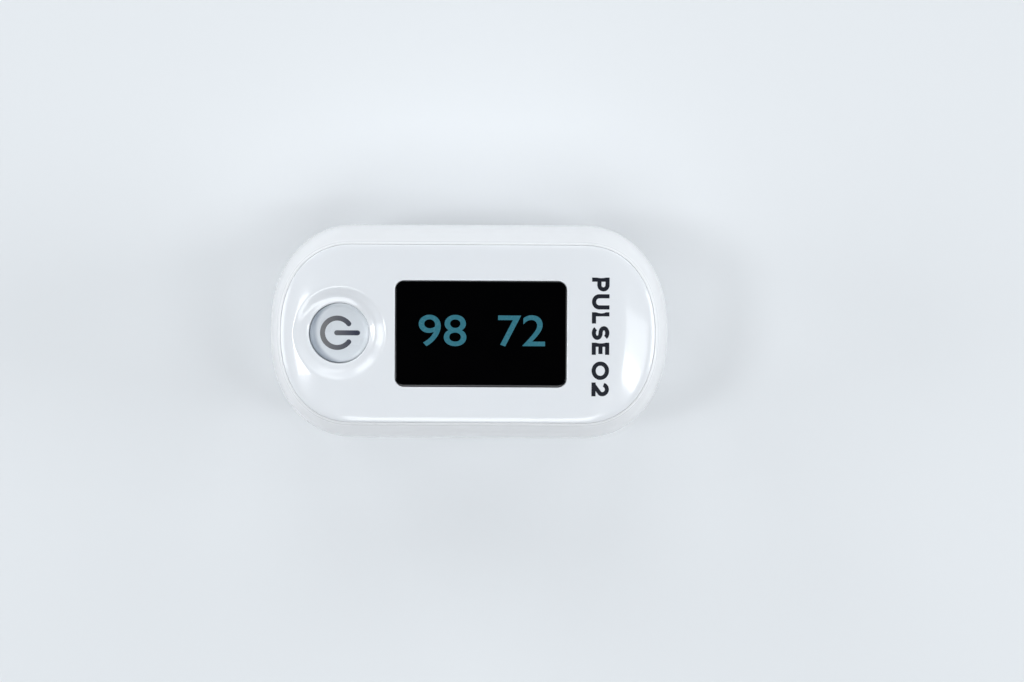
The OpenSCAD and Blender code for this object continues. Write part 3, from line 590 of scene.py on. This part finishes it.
def build_panel():
    pts, edge, cons = [], [], []

    def add_loop(loop, e):
        base = len(pts)
        pts.extend(loop)
        edge.extend([e] * len(loop))
        cons.extend([(base + i, base + (i + 1) % len(loop)) for i in range(len(loop))])

    fillet = [0.0, 0.03, 0.08, 0.15, 0.24, 0.35, 0.5, 0.68, 0.9]
    for k in fillet:
        x, y = plan(PANEL_A - k, PANEL_B - k)
        loop = list(zip(x.tolist(), y.tolist()))
        add_loop(loop, k)
    radii = [4.55, 4.6, 4.66, 4.75, 4.9, 5.1, 5.3, 5.5, 5.7, 5.9, 6.1, 6.3, 6.5, 6.7, 6.85, 7.0, 7.15, 7.3]
    for r in radii:
        n = 120
        add_loop([(BTN_X + r * math.cos(2 * math.pi * i / n), r * math.sin(2 * math.pi * i / n)) for i in range(n)], 1.0)
    for k in (0.05, 0.075, 0.11, 0.15, 0.20, 0.27, 0.45):
        add_loop(spaced(rounded_loop(WIN_L + 2 * k, WIN_W + 2 * k, WIN_R + k, WIN_X), 0.5), 1.0)
    step = 0.42
    ax, ay = PANEL_A - 0.9, PANEL_B - 0.9
    row = 0
    y = -ay
    while y <= ay:
        x = -ax + (row % 2) * step / 2
        while x <= ax:
            ok = abs(y) < ay - 0.2
            if abs(x) > CAP_S:
                t = ((abs(x) - CAP_S) / (ax - 0.2 - CAP_S))
                ok = ok and t < 1 and t ** CAP_N + (abs(y) / (ay - 0.2)) ** CAP_N < 1
            if ok and math.hypot(x - BTN_X, y) > 7.5 and not (abs(x - WIN_X) < WIN_L / 2 + 0.6 and abs(y) < WIN_W / 2 + 0.6):
                pts.append((x, y))
                edge.append(1.0)
            x += step
        y += step * 0.8660254
        row += 1
    res = geometry.delaunay_2d_cdt([Vector(p) for p in pts], cons, [], 0, 1e-6)
    vs, tris, orig = res[0], res[2], res[3]
    ed = [edge[o[0]] if o else 1.0 for o in orig]
    keep = []
    for t in tris:
        cx, cy = sum(vs[i].x for i in t) / 3, sum(vs[i].y for i in t) / 3
        if math.hypot(cx - BTN_X, cy) < BTN_R - 0.005:
            continue
        wx, wy = max(abs(cx - WIN_X) - (WIN_L / 2 - WIN_R), 0), max(abs(cy) - (WIN_W / 2 - WIN_R), 0)
        if math.hypot(wx, wy) < WIN_R + 0.045:
            continue
        keep.append(tuple(t))
    used = sorted({i for t in keep for i in t})
    index = {v: k for k, v in enumerate(used)}
    xy = np.array([(vs[i].x, vs[i].y) for i in used])
    e = np.array([ed[i] for i in used])
    top = panel_top(xy[:, 0], xy[:, 1], e)
    low = H - PANEL_T - drop(xy[:, 0], xy[:, 1])
    n = len(used)
    verts = [(x, y, z) for (x, y), z in zip(xy, top)] + [(x, y, z) for (x, y), z in zip(xy, low)]
    T = [tuple(index[i] for i in t) for t in keep]
    T = [t if np.cross(xy[t[1]] - xy[t[0]], xy[t[2]] - xy[t[0]]) > 0 else t[::-1] for t in T]
    sides = {}
    for t in T:
        for a, b in ((t[0], t[1]), (t[1], t[2]), (t[2], t[0])):
            sides[(a, b)] = sides.get((a, b), 0) + 1
    border = [(a, b) for (a, b) in sides if (b, a) not in sides]
    faces = T + [tuple(i + n for i in t[::-1]) for t in T] + [(b, a, a + n, b + n) for a, b in border]
    return make("front_panel_gloss", verts, faces, 38)


put(build_panel(), "front_panel_gloss", PANEL, "upper_jaw", ["front_panel"])


# ---------------------------------------------------------------- display window and lit digits
def build_window():
    rings = []
    for k, z in ((0.0, H - PANEL_T), (0.0, H - 0.14), (0.02, H - 0.09), (0.06, H - 0.06), (0.12, H - 0.05), (0.5, H - 0.045), (3.0, H - 0.042)):
        loop = spaced(rounded_loop(WIN_L - 2 * min(k, 1.0), WIN_W - 2 * min(k, 1.0), max(WIN_R - min(k, 1.0), 0.3), WIN_X), 50)
        if k > 1:
            loop = [(WIN_X + (x - WIN_X) * 0.7, y * 0.7) for x, y in loop]
        rings.append([(x, y, z) for x, y in loop])
    return make("display_window_gloss", *loft(rings), 40)


put(build_window(), "display_window_gloss", GLASS, "upper_jaw", ["display_window"])


def lettering(name, words, at, rot, box, bold, spacing, lift, thick, drape=False):
    """Words as thin solid geometry that fills box (length, height) in mm about `at`; lift is the height of their face over the panel or over `at`."""
    cu = bpy.data.curves.new(name, "FONT")
    cu.body, cu.size, cu.offset, cu.space_character = words, 3.6, bold, spacing
    cu.extrude, cu.resolution_u = 0.5, 8
    o = bpy.data.objects.new(name, cu)
    scene.collection.objects.link(o)
    me = bpy.data.meshes.new_from_object(o.evaluated_get(bpy.context.evaluated_depsgraph_get()))
    bpy.data.objects.remove(o)
    co = np.array([v.co for v in me.vertices])
    lo, hi = co.min(0), co.max(0)
    x = (co[:, 0] - (lo[0] + hi[0]) / 2) * box[0] / (hi[0] - lo[0])
    y = (co[:, 1] - (lo[1] + hi[1]) / 2) * box[1] / (hi[1] - lo[1])
    c, t = math.cos(rot), math.sin(rot)
    gx, gy = at[0] + x * c - y * t, at[1] + x * t + y * c
    face = panel_top(gx, gy, 1.0) if drape else at[2]
    z = face + lift - np.where(co[:, 2] > 0, 0, thick)
    for v, p in zip(me.vertices, np.stack([gx, gy, z], 1)):
        v.co = Vector(p.tolist()) * MM
    out = bpy.data.objects.new(name, me)
    scene.collection.objects.link(out)
    tidy(out, 40)
    return out


digits = lettering("display_digits", "98  72", (WIN_X + 0.15, 0.5, H - 0.042), 0.0, (18.9, 4.7), 0.02, 1.0, 0.014, 0.02)
put(digits, "display_digits", LIT, "upper_jaw")


def stroke(line, width, round_ends=False):
    """Outline of a pen stroke of even width along a centre line."""
    p = [Vector(line[0])]
    for q in line[1:]:
        if (Vector(q) - p[-1]).length > 1e-4:
            p.append(Vector(q))
    n = len(p)
    left, right = [], []
    for i in range(n):
        a, b = p[max(i - 1, 0)], p[min(i + 1, n - 1)]
        if 0 < i < n - 1:
            u, v = (p[i] - a).normalized(), (b - p[i]).normalized()
            m = Vector((-(u + v).y, (u + v).x)).normalized()
            k = width / 2 / max(0.5, m.dot(Vector((-u.y, u.x))))
        else:
            u = (b - a).normalized()
            m, k = Vector((-u.y, u.x)), width / 2
        left.append(p[i] + m * k)
        right.append(p[i] - m * k)

    def cap(q, t, k=10):
        a0 = math.atan2(t.y, t.x)
        return [q + Vector((math.cos(a0 - math.pi / 2 + math.pi * j / k), math.sin(a0 - math.pi / 2 + math.pi * j / k))) * width / 2 for j in range(1, k)]
    if not round_ends:
        return right + left[::-1]
    return right + cap(p[-1], (p[-1] - p[-2]).normalized()) + left[::-1] + cap(p[0], (p[0] - p[1]).normalized())


def bow(cx, cy, rx, ry, a0, a1, n=22):
    return [(cx + rx * math.cos(math.radians(a0 + (a1 - a0) * i / n)), cy + ry * math.sin(math.radians(a0 + (a1 - a0) * i / n))) for i in range(n + 1)]


def printed(name, shapes, place):
    """Ink as thin solids. A shape is (loops to fill, loops to leave open); place turns a flat point into (x, y, face, underside)."""
    verts, faces = [], []
    for fill, leave in shapes:
        pts, lists = [], []
        for loop in fill + leave:
            area2 = sum(loop[i][0] * loop[(i + 1) % len(loop)][1] - loop[(i + 1) % len(loop)][0] * loop[i][1] for i in range(len(loop)))
            loop = loop if area2 > 0 else loop[::-1]
            lists.append(list(range(len(pts), len(pts) + len(loop))))
            pts.extend(Vector((q[0], q[1])) for q in loop)
        res = geometry.delaunay_2d_cdt(pts, [], lists, 1, 1e-5)
        vs, tris, owner = res[0], res[2], res[5]
        keep = [tuple(t) for t, o in zip(tris, owner) if any(i < len(fill) for i in o) and not any(i >= len(fill) for i in o)]
        used = sorted({i for t in keep for i in t})
        base, m = len(verts), len(used)
        index = {v: base + k for k, v in enumerate(used)}
        spots = [place(vs[i].x, vs[i].y) for i in used]
        verts += [(q[0], q[1], q[2]) for q in spots] + [(q[0], q[1], q[3]) for q in spots]
        tops = [tuple(index[i] for i in t) for t in keep]
        edges = {(a, b) for t in tops for a, b in zip(t, t[1:] + t[:1])}
        faces += tops + [tuple(i + m for i in t[::-1]) for t in tops]
        faces += [(b, a, a + m, b + m) for a, b in edges if (b, a) not in edges]
    return make(name, verts, faces, 40)


def letters(h, t):
    """Width, pen strokes and open loops of each capital, in mm, for cap height h and pen width t."""
    m, c = h - t / 2, t / 2
    low = 1.10
    pw, uw, lw, sw, ew, ow, dw = 2.0, 2.2, 1.62, 1.98, 1.75, 2.62, 1.98
    r = (m - low) / 2
    sr = (m - c) / 4
    q = dw / 2 - c
    return {
        "P": (pw, [[(c, 0), (c, h)], [(c, m), (pw - c - r, m)] + bow(pw - c - r, (m + low) / 2, r, r, 84, -84) + [(pw - c - r, low), (c, low)]]),
        "U": (uw, [[(c, h), (c, uw / 2)] + bow(uw / 2, uw / 2, uw / 2 - c, uw / 2 - c, 184, 356) + [(uw - c, uw / 2), (uw - c, h)]]),
        "L": (lw, [[(c, 0), (c, h)], [(c, c), (lw, c)]]),
        "S": (sw, [bow(sw / 2, m - sr, sw / 2 - c, sr, 28, 252, 40) + bow(sw / 2, c + sr, sw / 2 - c, sr, 72, -152, 40)]),
        "E": (ew, [[(c, 0), (c, h)], [(c, m), (ew, m)], [(c, h / 2), (ew - 0.12, h / 2)], [(c, c), (ew, c)]]),
        "O": (ow, None),
        "2": (dw, [bow(dw / 2, m - q, q, q, 165, -32, 34) + [(c * 1.1, c)], [(0, c), (dw, c)]]),
    }


def build_label(words, at, length, h, t):
    """The words run toward -Y with their tops toward +X."""
    table = letters(h, t)
    gap, space = 0.36, 0.95
    natural = sum(table[c][0] if c != " " else space for c in words) + gap * (len(words) - 1) - 2 * gap * words.count(" ")
    k = length / natural
    shapes, x = [], 0.0
    for c in words:
        if c == " ":
            x += (space - gap) * k
            continue
        w, strokes = table[c]
        w *= k
        if strokes is None:
            turn = np.linspace(0, 2 * math.pi, 65)[:-1]
            rings = [[(x + w / 2 + (w / 2 - d) * math.cos(a), h / 2 + (h / 2 - d) * math.sin(a)) for a in turn] for d in (0, t)]
            shapes.append(([rings[0]], [rings[1]]))
        else:
            shapes.append(([[tuple(q) for q in stroke([(x + q[0] * k, q[1]) for q in line], t)] for line in strokes], []))
        x += w + gap * k

    def place(px, py):
        gx, gy = at[0] + py - h / 2, at[1] - (px - length / 2)
        z = float(panel_top(np.array([gx]), np.array([gy]), 1.0)[0])
        return gx, gy, z + 0.014, z - 0.02
    return printed("unit_label", shapes, place)


put(build_label("PULSE O2", (19.9, -0.35), 17.8, 2.62, 0.62), "unit_label", INK, "upper_jaw")


# ---------------------------------------------------------------- power button and its symbol
def button_top(r):
    r = np.asarray(r)
    return 29.42 - 0.10 * (1 - np.clip(r / 3.9, 0, 1) ** 2) + 0.30 * smooth((r - 3.75) / 0.65) - 0.10 * np.clip((r - 4.4) / 0.1, 0, 1) ** 2


prof = [(0, float(button_top(0)))] + [(r, float(button_top(r))) for r in (0.5, 1, 1.5, 2, 2.5, 3, 3.4, 3.6, 3.75, 3.82, 3.9, 3.98, 4.06, 4.14, 4.22, 4.3, 4.36, 4.4, 4.43, 4.46, 4.48, 4.5)]
prof += [(4.5, 28.62), (4.55, 28.56), (5.12, 28.55), (5.2, 28.47), (5.2, 28.12), (5.12, 28.05), (1.65, 28.05), (1.6, 28.0), (1.6, 27.67), (1.55, 27.62), (0, 27.62)]
put(lathe("power_button_cap", prof, (BTN_X, 0, 0)), "power_button_cap", BUTTON, "power_button", ["power_button"])


def on_button(px, py):
    z = float(button_top(math.hypot(px, py)))
    return BTN_X + px, py, z + 0.014, z - 0.01


ICON_R, ICON_W = 2.21, 0.75
arc = [(-0.37 + ICON_R * math.cos(math.radians(t)), ICON_R * math.sin(math.radians(t))) for t in np.linspace(38, 322, 75)]
put(printed("power_symbol_ring", [([stroke(arc, ICON_W, True)], [])], on_button), "power_symbol_ring", SYMBOL, "power_button")
bar = [(x, 0.0) for x in np.linspace(-0.45, 2.7, 20)]
put(printed("power_symbol_bar", [([stroke(bar, ICON_W, True)], [])], on_button), "power_symbol_bar", SYMBOL, "power_button")


# ---------------------------------------------------------------- lower cover and battery door
def low_plan(z, inset, f=1.0):
    x, y = plan(A - low_da(z) - inset, B - low_db(z) - inset)
    return np.stack([x * f, y * f, np.broadcast_to(z, len(x))], 1)


def low_edge(v, inset, dz=0.0):
    px, _ = plan(A, B)
    edge = PART_Z - SEAM - tail(px)
    z = 12 + (edge - 12) * v + dz
    return low_plan(z, inset)


def build_bottom_cover():
    rings = [low_plan(0.0, 0, f) for f in (0.3, 0.6, 0.85)]
    rings += [low_plan(z, 0) for z in (0, 0.06, 0.15, 0.28, 0.42, 0.6, 0.8, 1.1, 1.5, 2, 2.7, 3.5, 4.5, 5.5, 6.5, 7.5, 8.5, 9.5, 10.5, 11.3, 12)]
    rings += [low_edge(v, 0) for v in (0.2, 0.4, 0.6, 0.8)]
    for k in range(6):
        t = math.radians(90 * k / 5)
        rings.append(low_edge(1.0, 0.32 * (1 - math.cos(t)), -0.32 * (1 - math.sin(t))))
    for k in range(5):
        t = math.radians(90 * k / 4)
        rings.append(low_edge(1.0, WALL - 0.2 * (1 - math.sin(t)), -0.2 * (1 - math.cos(t))))
    rings += [low_edge(v, WALL) for v in (0.7, 0.4)]
    rings += [low_plan(z, WALL) for z in (12, 10, 8, 6, 4.4)]
    rings += [low_plan(3.2, WALL + 0.15), low_plan(2.5, WALL + 0.4), low_plan(2.2, WALL + 0.9)]
    rings += [low_plan(2.2, WALL + 0.9, f) for f in (0.85, 0.6, 0.3)]
    o = make("bottom_cover_shell", *loft(rings))
    boolean(o, [block(25, 26, -9.1, 9.1, 1.5, 11), block(-26, -25, -9.1, 9.1, 1.5, 11)], "UNION")
    for x, y, z0, z1 in ((-14, 12.2, 9.5, 15.3), (-14, -12.2, 9.5, 15.3), (20.5, 11.9, 9.5, 12.8), (20.5, -11.9, 9.5, 12.8)):
        s = 1 if y > 0 else -1
        y1 = 14.9 if x < 0 else 14.5
        boolean(o, [cyl(1.6, (x, y, z0), (x, y, z1), 40), block(x - 0.6, x + 0.6, *sorted((s * (abs(y) + 1), s * y1)), z0 + 0.1, z1 - 0.1)], "UNION")
        boolean(o, [cyl(0.7, (x, y, z1 - 3.6), (x, y, z1 + 1), 32)])
    # strap eye
    n = 40
    loop = [(26.5, 12.3), (29.7, 12.3)] + [(28.1 + 1.6 * math.cos(math.pi * i / n), 15.85 + 1.6 * math.sin(math.pi * i / n)) for i in range(n + 1)]
    v = [(x, -1.1, z) for x, z in loop] + [(x, 1.1, z) for x, z in loop]
    m = len(loop)
    eye = make("eye", v, [(i, (i + 1) % m, m + (i + 1) % m, m + i) for i in range(m)] + [tuple(range(m)), tuple(range(m, 2 * m))[::-1]])
    boolean(o, [eye], "UNION")
    boolean(o, [cyl(0.8, (28.1, -3, 15.85), (28.1, 3, 15.85), 48),
                cyl(TROUGH_RO + 0.15, (-A - 1, 0, LOWER_CZ), (-20, 0, LOWER_CZ), 256),
                block(-21.1, A + 1, -11.5, 11.5, -1, 1.35),
                block(-25, -21, -7.5, 7.5, -0.98, 1.348),
                block(-24.9, 24.9, -9.1, 9.1, 1.3, 2.4),
                block(-23, 23, -11.1, 11.1, 1.302, 2.398),
                block(-17.3, A + 1.1, -12.15, 12.15, 0.45, 1.2)])
    tidy(o, 32)
    return put(o, "bottom_cover_shell", WHITE, "lower_jaw", ["bottom_cover"])


build_bottom_cover()


def build_door():
    rings = [low_plan(0.0, 0, f) for f in (0.3, 0.6, 0.85)] + [low_plan(z, 0) for z in (0, 0.06, 0.15, 0.28, 0.42, 0.6, 0.8, 1.0, 1.25)]
    rings += [low_plan(1.25, 0, f) for f in (0.85, 0.6, 0.3)]
    o = make("battery_door_shell", *loft(rings))
    outline = [(-24.9, -7.4), (-21, -7.4), (-21, -11.4), (A, -11.4), (A, 11.4), (-21, 11.4), (-21, 7.4), (-24.9, 7.4)]
    boolean(o, [prism(outline, -1, 1.24)], "INTERSECT")
    boolean(o, [block(-17, 17, 11.3, 12.05, 0.55, 1.1, 0.08), block(-17, 17, -12.05, -11.3, 0.55, 1.1, 0.08)], "UNION")
    boolean(o, [block(13 + i * 1.8, 13.9 + i * 1.8, -5, 5, -0.4, 0.35, 0.12) for i in range(5)])
    arrow = [(9.6, 0), (6.2, 2.3), (6.2, -2.3)]
    boolean(o, [prism(arrow, -0.5, 0.25)])
    tidy(o, 32)
    return put(o, "battery_door_shell", WHITE, "battery_door", ["battery_door"])


build_door()


# ---------------------------------------------------------------- finger pads
def pad_mesh(up):
    cz = UPPER_CZ if up else LOWER_CZ
    s = 1 if up else -1
    z0, z1 = (PART_Z + 0.2, PART_Z + 0.95) if up else (PART_Z - 0.95, PART_Z - 0.2)
    rough = cyl(CH_R + PAD_T - 0.05, (-A, 0, cz), (7.95, 0, cz), 256)
    x, y = plan(A - 0.9, B - 0.9)
    lim = (z0, H) if up else (0.0, z1)
    boolean(rough, [prism(list(zip(x.tolist(), y.tolist())), *lim)], "INTERSECT")
    x, y = plan(A - 2.2, 10.6)
    lip = prism(list(zip(x.tolist(), y.tolist())), z0, z1)
    boolean(lip, [block(-A - 1, 9.0, -B, B, z0 - 1, z1 + 1)], "INTERSECT")
    boolean(rough, [lip], "UNION")
    # the channel, with its ribs left standing 0.18 mm proud of it
    prof, xx = [], -A - 1.0
    prof.append((0.0, xx))
    prof.append((CH_R + 0.16, xx))
    ribs = [-24.0 + 2.2 * i for i in range(14) if not -8.2 < -24.0 + 2.2 * i < 0.2]
    for c in ribs:
        for dx, k in ((-0.55, 0.0), (-0.42, 0.25), (-0.28, 0.75), (-0.12, 1.0), (0.12, 1.0), (0.28, 0.75), (0.42, 0.25), (0.55, 0.0)):
            prof.append((CH_R + 0.16 - 0.16 * k, c + dx))
    prof += [(CH_R + 0.16, 5.9), (CH_R + 0.05, 6.45), (CH_R - 0.35, 6.85), (CH_R - 0.8, 7.0), (0.0, 7.0)]
    cut = lathe("cut", prof, (0, 0, cz), "X", 192)
    boolean(rough, [cut])
    boolean(rough, [cyl(3.1, (-4, 0, cz + s * 2), (-4, 0, cz + s * 12), 96)])
    m = rough.modifiers.new("soft", "BEVEL")
    m.width, m.segments, m.limit_method, m.angle_limit = 0.12 * MM, 2, "ANGLE", math.radians(50)
    m.use_clamp_overlap = True
    applied(rough)
    tidy(rough, 45)
    return rough


put(pad_mesh(True), "upper_pad_liner", SILICONE, "upper_jaw", ["upper_finger_pad"])
put(pad_mesh(False), "lower_pad_liner", SILICONE, "lower_jaw", ["lower_finger_pad"])

# ---------------------------------------------------------------- lenses in the pads
lens = [(0, 0.7), (0.6, 0.69), (1.2, 0.655), (1.8, 0.60), (2.3, 0.53), (2.7, 0.44), (2.9, 0.36), (2.98, 0.26), (3.0, 0.12), (2.96, 0.03), (2.85, 0.0), (0, 0.0)]
put(lathe("detector_lens_dome", lens, (-4, 0, 12.4)), "detector_lens_dome", LENS, "lower_jaw", ["detector_lens"])
put(lathe("emitter_lens_dome", [(r, h * 0.8 / 0.7) for r, h in lens], (-4, 0, 22.95), "-Z"), "emitter_lens_dome", LENS, "upper_jaw", ["emitter_lens"])


# ---------------------------------------------------------------- cells
def build_cell(name, x0, y, z, axis):
    r, L = 5.22, 44.5
    prof = [(0, 0.25), (2.6, 0.25), (3.0, 0.05), (3.4, 0.0), (4.4, 0.0), (4.9, 0.12), (5.1, 0.35), (5.16, 0.6),
            (5.22, 0.66), (r, 0.8), (r, 9.5), (r, 9.6), (r, 42.3), (5.18, 42.8), (5.0, 43.15), (4.6, 43.38), (3.9, 43.45),
            (3.0, 43.42), (2.4, 43.35), (2.05, 43.4), (1.95, 43.6), (1.9, 44.2), (1.8, 44.42), (1.6, 44.5), (0, 44.5)]
    o = lathe(name, prof, (x0, y, z), axis, 96)
    o.data.materials.clear()
    for m in (SLEEVE, BAND, CAN):
        o.data.materials.append(m)
    for p in o.data.polygons:
        h = (p.center.x / MM - x0) * (1 if axis == "X" else -1)
        p.material_index = 2 if h < 0.62 or h > 43.4 else (1 if h > 34 else 0)
    return o


put(build_cell("cell_right_can", -20.4, 5.6, 6.75, "X"), "cell_right_can", None, "lower_jaw", ["aaa_cell_right"])
put(build_cell("cell_left_can", 20.4, -5.6, 6.75, "-X"), "cell_left_can", None, "lower_jaw", ["aaa_cell_left"])


# ---------------------------------------------------------------- springs and ribbon
def torsion_path(y0, sign):
    R = 2.05
    pts = [(HINGE_X + 6.6, y0 - 0.45, HINGE_Z - 2.95), (HINGE_X + 5, y0 - 0.45, HINGE_Z - 2.45), (HINGE_X + 2.6, y0 - 0.42, HINGE_Z - 2.15), (HINGE_X + 1.2, y0 - 0.3, HINGE_Z - R - 0.05)]
    steps = 32
    for i in range(0, int(3.5 * steps) + 1):
        a = math.radians(-90 - 360 * i / steps)
        pts.append((HINGE_X + R * math.cos(a), y0 + 0.86 * i / steps, HINGE_Z + R * math.sin(a)))
    y1 = y0 + 0.86 * 3.5
    pts += [(HINGE_X + 1.2, y1 + 0.3, HINGE_Z + R + 0.05), (HINGE_X + 2.6, y1 + 0.42, HINGE_Z + 2.15), (HINGE_X + 5, y1 + 0.45, HINGE_Z + 2.45), (HINGE_X + 6.6, y1 + 0.45, HINGE_Z + 2.95)]
    return [(x, y * sign, z) for x, y, z in pts]


for side, sign in (("left", 1), ("right", -1)):
    o = tube("torsion_coil_" + side, torsion_path(5, sign), 0.4)
    o.data.materials.append(STEEL)
    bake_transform(o)
    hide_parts("torsion_spring_" + side)


def cone(x0, y, z, h, sign):
    turns, steps = 4.5, 30
    n = int(turns * steps)
    pts = []
    for i in range(n + 1):
        f, a = i / n, 2 * math.pi * i / steps
        r = 3 - 1.1 * f
        x = 0.3 + (h - 0.6) * max(0.0, min(1.0, (f - 0.1) / 0.8))
        pts.append((x0 + sign * x, y + r * math.cos(a), z + r * math.sin(a)))
    return pts


put(tube("front_coil", cone(-24.7, 5.6, 6.75, 4.3, 1), 0.25, 10), "front_coil", CONTACT, "lower_jaw", ["front_battery_spring"])
put(tube("rear_coil", cone(24.7, -5.6, 6.75, 4.3, -1), 0.25, 10), "rear_coil", CONTACT, "lower_jaw", ["rear_battery_spring"])


def build_flex():
    pts = [(-1.5, 11.2), (0.5, 10.8), (3, 10.7), (9, 10.7), (11, 11.1), (12.1, 12), (12.6, 13.2), (12.75, 14.6), (12.55, 16), (12.5, 17.6),
           (12.6, 19.2), (12.8, 20.6), (12.9, 21.8), (13.3, 22.8), (14, 23.4), (14.96, 23.6)]
    path = [Vector((p.x, p.y)) for p in curve_through([(x, z, 0) for x, z in pts], 6)]
    n = len(path)
    cols = 9
    top, bot = [], []
    for i, p in enumerate(path):
        t = (path[min(i + 1, n - 1)] - path[max(i - 1, 0)]).normalized()
        nn = Vector((-t.y, t.x)) * 0.1
        for j in range(cols):
            y = -2 + 4 * j / (cols - 1)
            top.append((p.x + nn.x, y, p.y + nn.y))
            bot.append((p.x - nn.x, y, p.y - nn.y))
    m = n * cols
    faces = []
    for i in range(n - 1):
        for j in range(cols - 1):
            a, b, c, d = i * cols + j, i * cols + j + 1, (i + 1) * cols + j + 1, (i + 1) * cols + j
            faces += [(a, b, c, d), (m + d, m + c, m + b, m + a)]
        faces += [(i * cols, (i + 1) * cols, m + (i + 1) * cols, m + i * cols)]
        e = cols - 1
        faces += [((i + 1) * cols + e, i * cols + e, m + i * cols + e, m + (i + 1) * cols + e)]
    for j in range(cols - 1):
        faces += [(j + 1, j, m + j, m + j + 1)]
        q = (n - 1) * cols + j
        faces += [(q, q + 1, m + q + 1, m + q)]
    return make("hinge_ribbon", top + bot, faces, 50)


flex = build_flex()
flex.data.materials.append(FLEX)
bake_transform(flex)
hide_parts("flex_cable")

# ---------------------------------------------------------------- stage, light and camera
bpy.ops.mesh.primitive_plane_add(size=1.3, location=(0, 0, 0))
floor = bpy.context.object
floor.name = "floor"
floor.data.materials.append(material("floor_paper", (0.80, 0.815, 0.83), 0.65, spread=0.004, scale=8, bump=0.0))

world = bpy.data.worlds.new("studio")
scene.world = world
world.use_nodes = True
wt = world.node_tree
wt.nodes["Background"].inputs["Color"].default_value = (0.955, 0.995, 1.03, 1)
w_tc, w_xyz, w_ramp = (wt.nodes.new("ShaderNode" + k) for k in ("TexCoord", "SeparateXYZ", "ValToRGB"))
wt.links.new(w_tc.outputs["Generated"], w_xyz.inputs["Vector"])
wt.links.new(w_xyz.outputs["Z"], w_ramp.inputs["Fac"])
w_side, w_mul = wt.nodes.new("ShaderNodeMapRange"), wt.nodes.new("ShaderNodeMath")
wt.links.new(w_xyz.outputs["Y"], w_side.inputs["Value"])
for k, v in (("From Min", -1), ("From Max", 1), ("To Min", 0.62), ("To Max", 1.10)):
    w_side.inputs[k].default_value = v
w_mul.operation = "MULTIPLY"
wt.links.new(w_ramp.outputs["Color"], w_mul.inputs[0])
wt.links.new(w_side.outputs["Result"], w_mul.inputs[1])
wt.links.new(w_mul.outputs[0], wt.nodes["Background"].inputs["Strength"])
# bright sweep round the horizon, soft above it, and dark overhead, where the camera hangs
for i, (pos, level) in enumerate(((0.0, 1.25), (0.25, 1.2), (0.42, 0.16), (0.93, 0.16), (0.965, 0.0))):
    e = w_ramp.color_ramp.elements[i] if i < 2 else w_ramp.color_ramp.elements.new(pos)
    e.position, e.color = pos, (level, level, level, 1)
LIGHT_TINT = (0.965, 1.0, 1.03)


def area(name, az, el, dist, size, power, color=(1, 1, 1)):
    """Azimuth counts from +X towards +Y; size is (across, up) as seen from the part."""
    a, e = math.radians(az), math.radians(el)
    light = bpy.data.lights.new(name, "AREA")
    light.shape, light.energy, light.color = "RECTANGLE", power, color
    light.size, light.size_y = size
    o = bpy.data.objects.new(name, light)
    o.location = Vector((math.cos(a) * math.cos(e), math.sin(a) * math.cos(e), math.sin(e))) * dist + Vector((0, 0, 0.02))
    o.rotation_euler = (Vector((0, 0, 0.02)) - o.location).to_track_quat("-Z", "Y").to_euler()
    scene.collection.objects.link(o)
    return o


for name, az, el, size, power in (("softbox_west", 190, 60, (0.11, 0.17), 0.74), ("west_soft", 182, 61, (0.18, 0.13), 0.45),
                                  ("softbox_east", -18, 61, (0.07, 0.22), 0.42), ("east_soft", -9, 59, (0.20, 0.28), 0.52),
                                  ("east_side", 0, 22, (0.4, 0.4), 2.3), ("west_side", 180, 22, (0.4, 0.4), 1.6),
                                  ("north_east", 45, 22, (0.4, 0.4), 1.0), ("north_west", 135, 22, (0.4, 0.4), 1.2),
                                  ("north_mid", 90, 45, (0.4, 0.4), 0.9), ("south_high", 270, 69, (0.5, 0.30), 2.05)):
    area(name, az, el, 0.9, size, power, LIGHT_TINT)

cam_data = bpy.data.cameras.new("camera")
cam_data.lens, cam_data.sensor_width = 85, 36
cam_data.clip_start, cam_data.clip_end = 0.01, 10
cam = bpy.data.objects.new("camera", cam_data)
scene.collection.objects.link(cam)
TILT, ROLL, DIST = math.radians(1.9), math.radians(0.3), 0.3625
target = Vector((0.0066, -0.00105, 0.031))
cam.location = target + DIST * Vector((0, math.sin(TILT), math.cos(TILT)))
cam.rotation_euler = (-TILT, 0, ROLL)
scene.camera = cam
scene.view_settings.view_transform = "Standard"
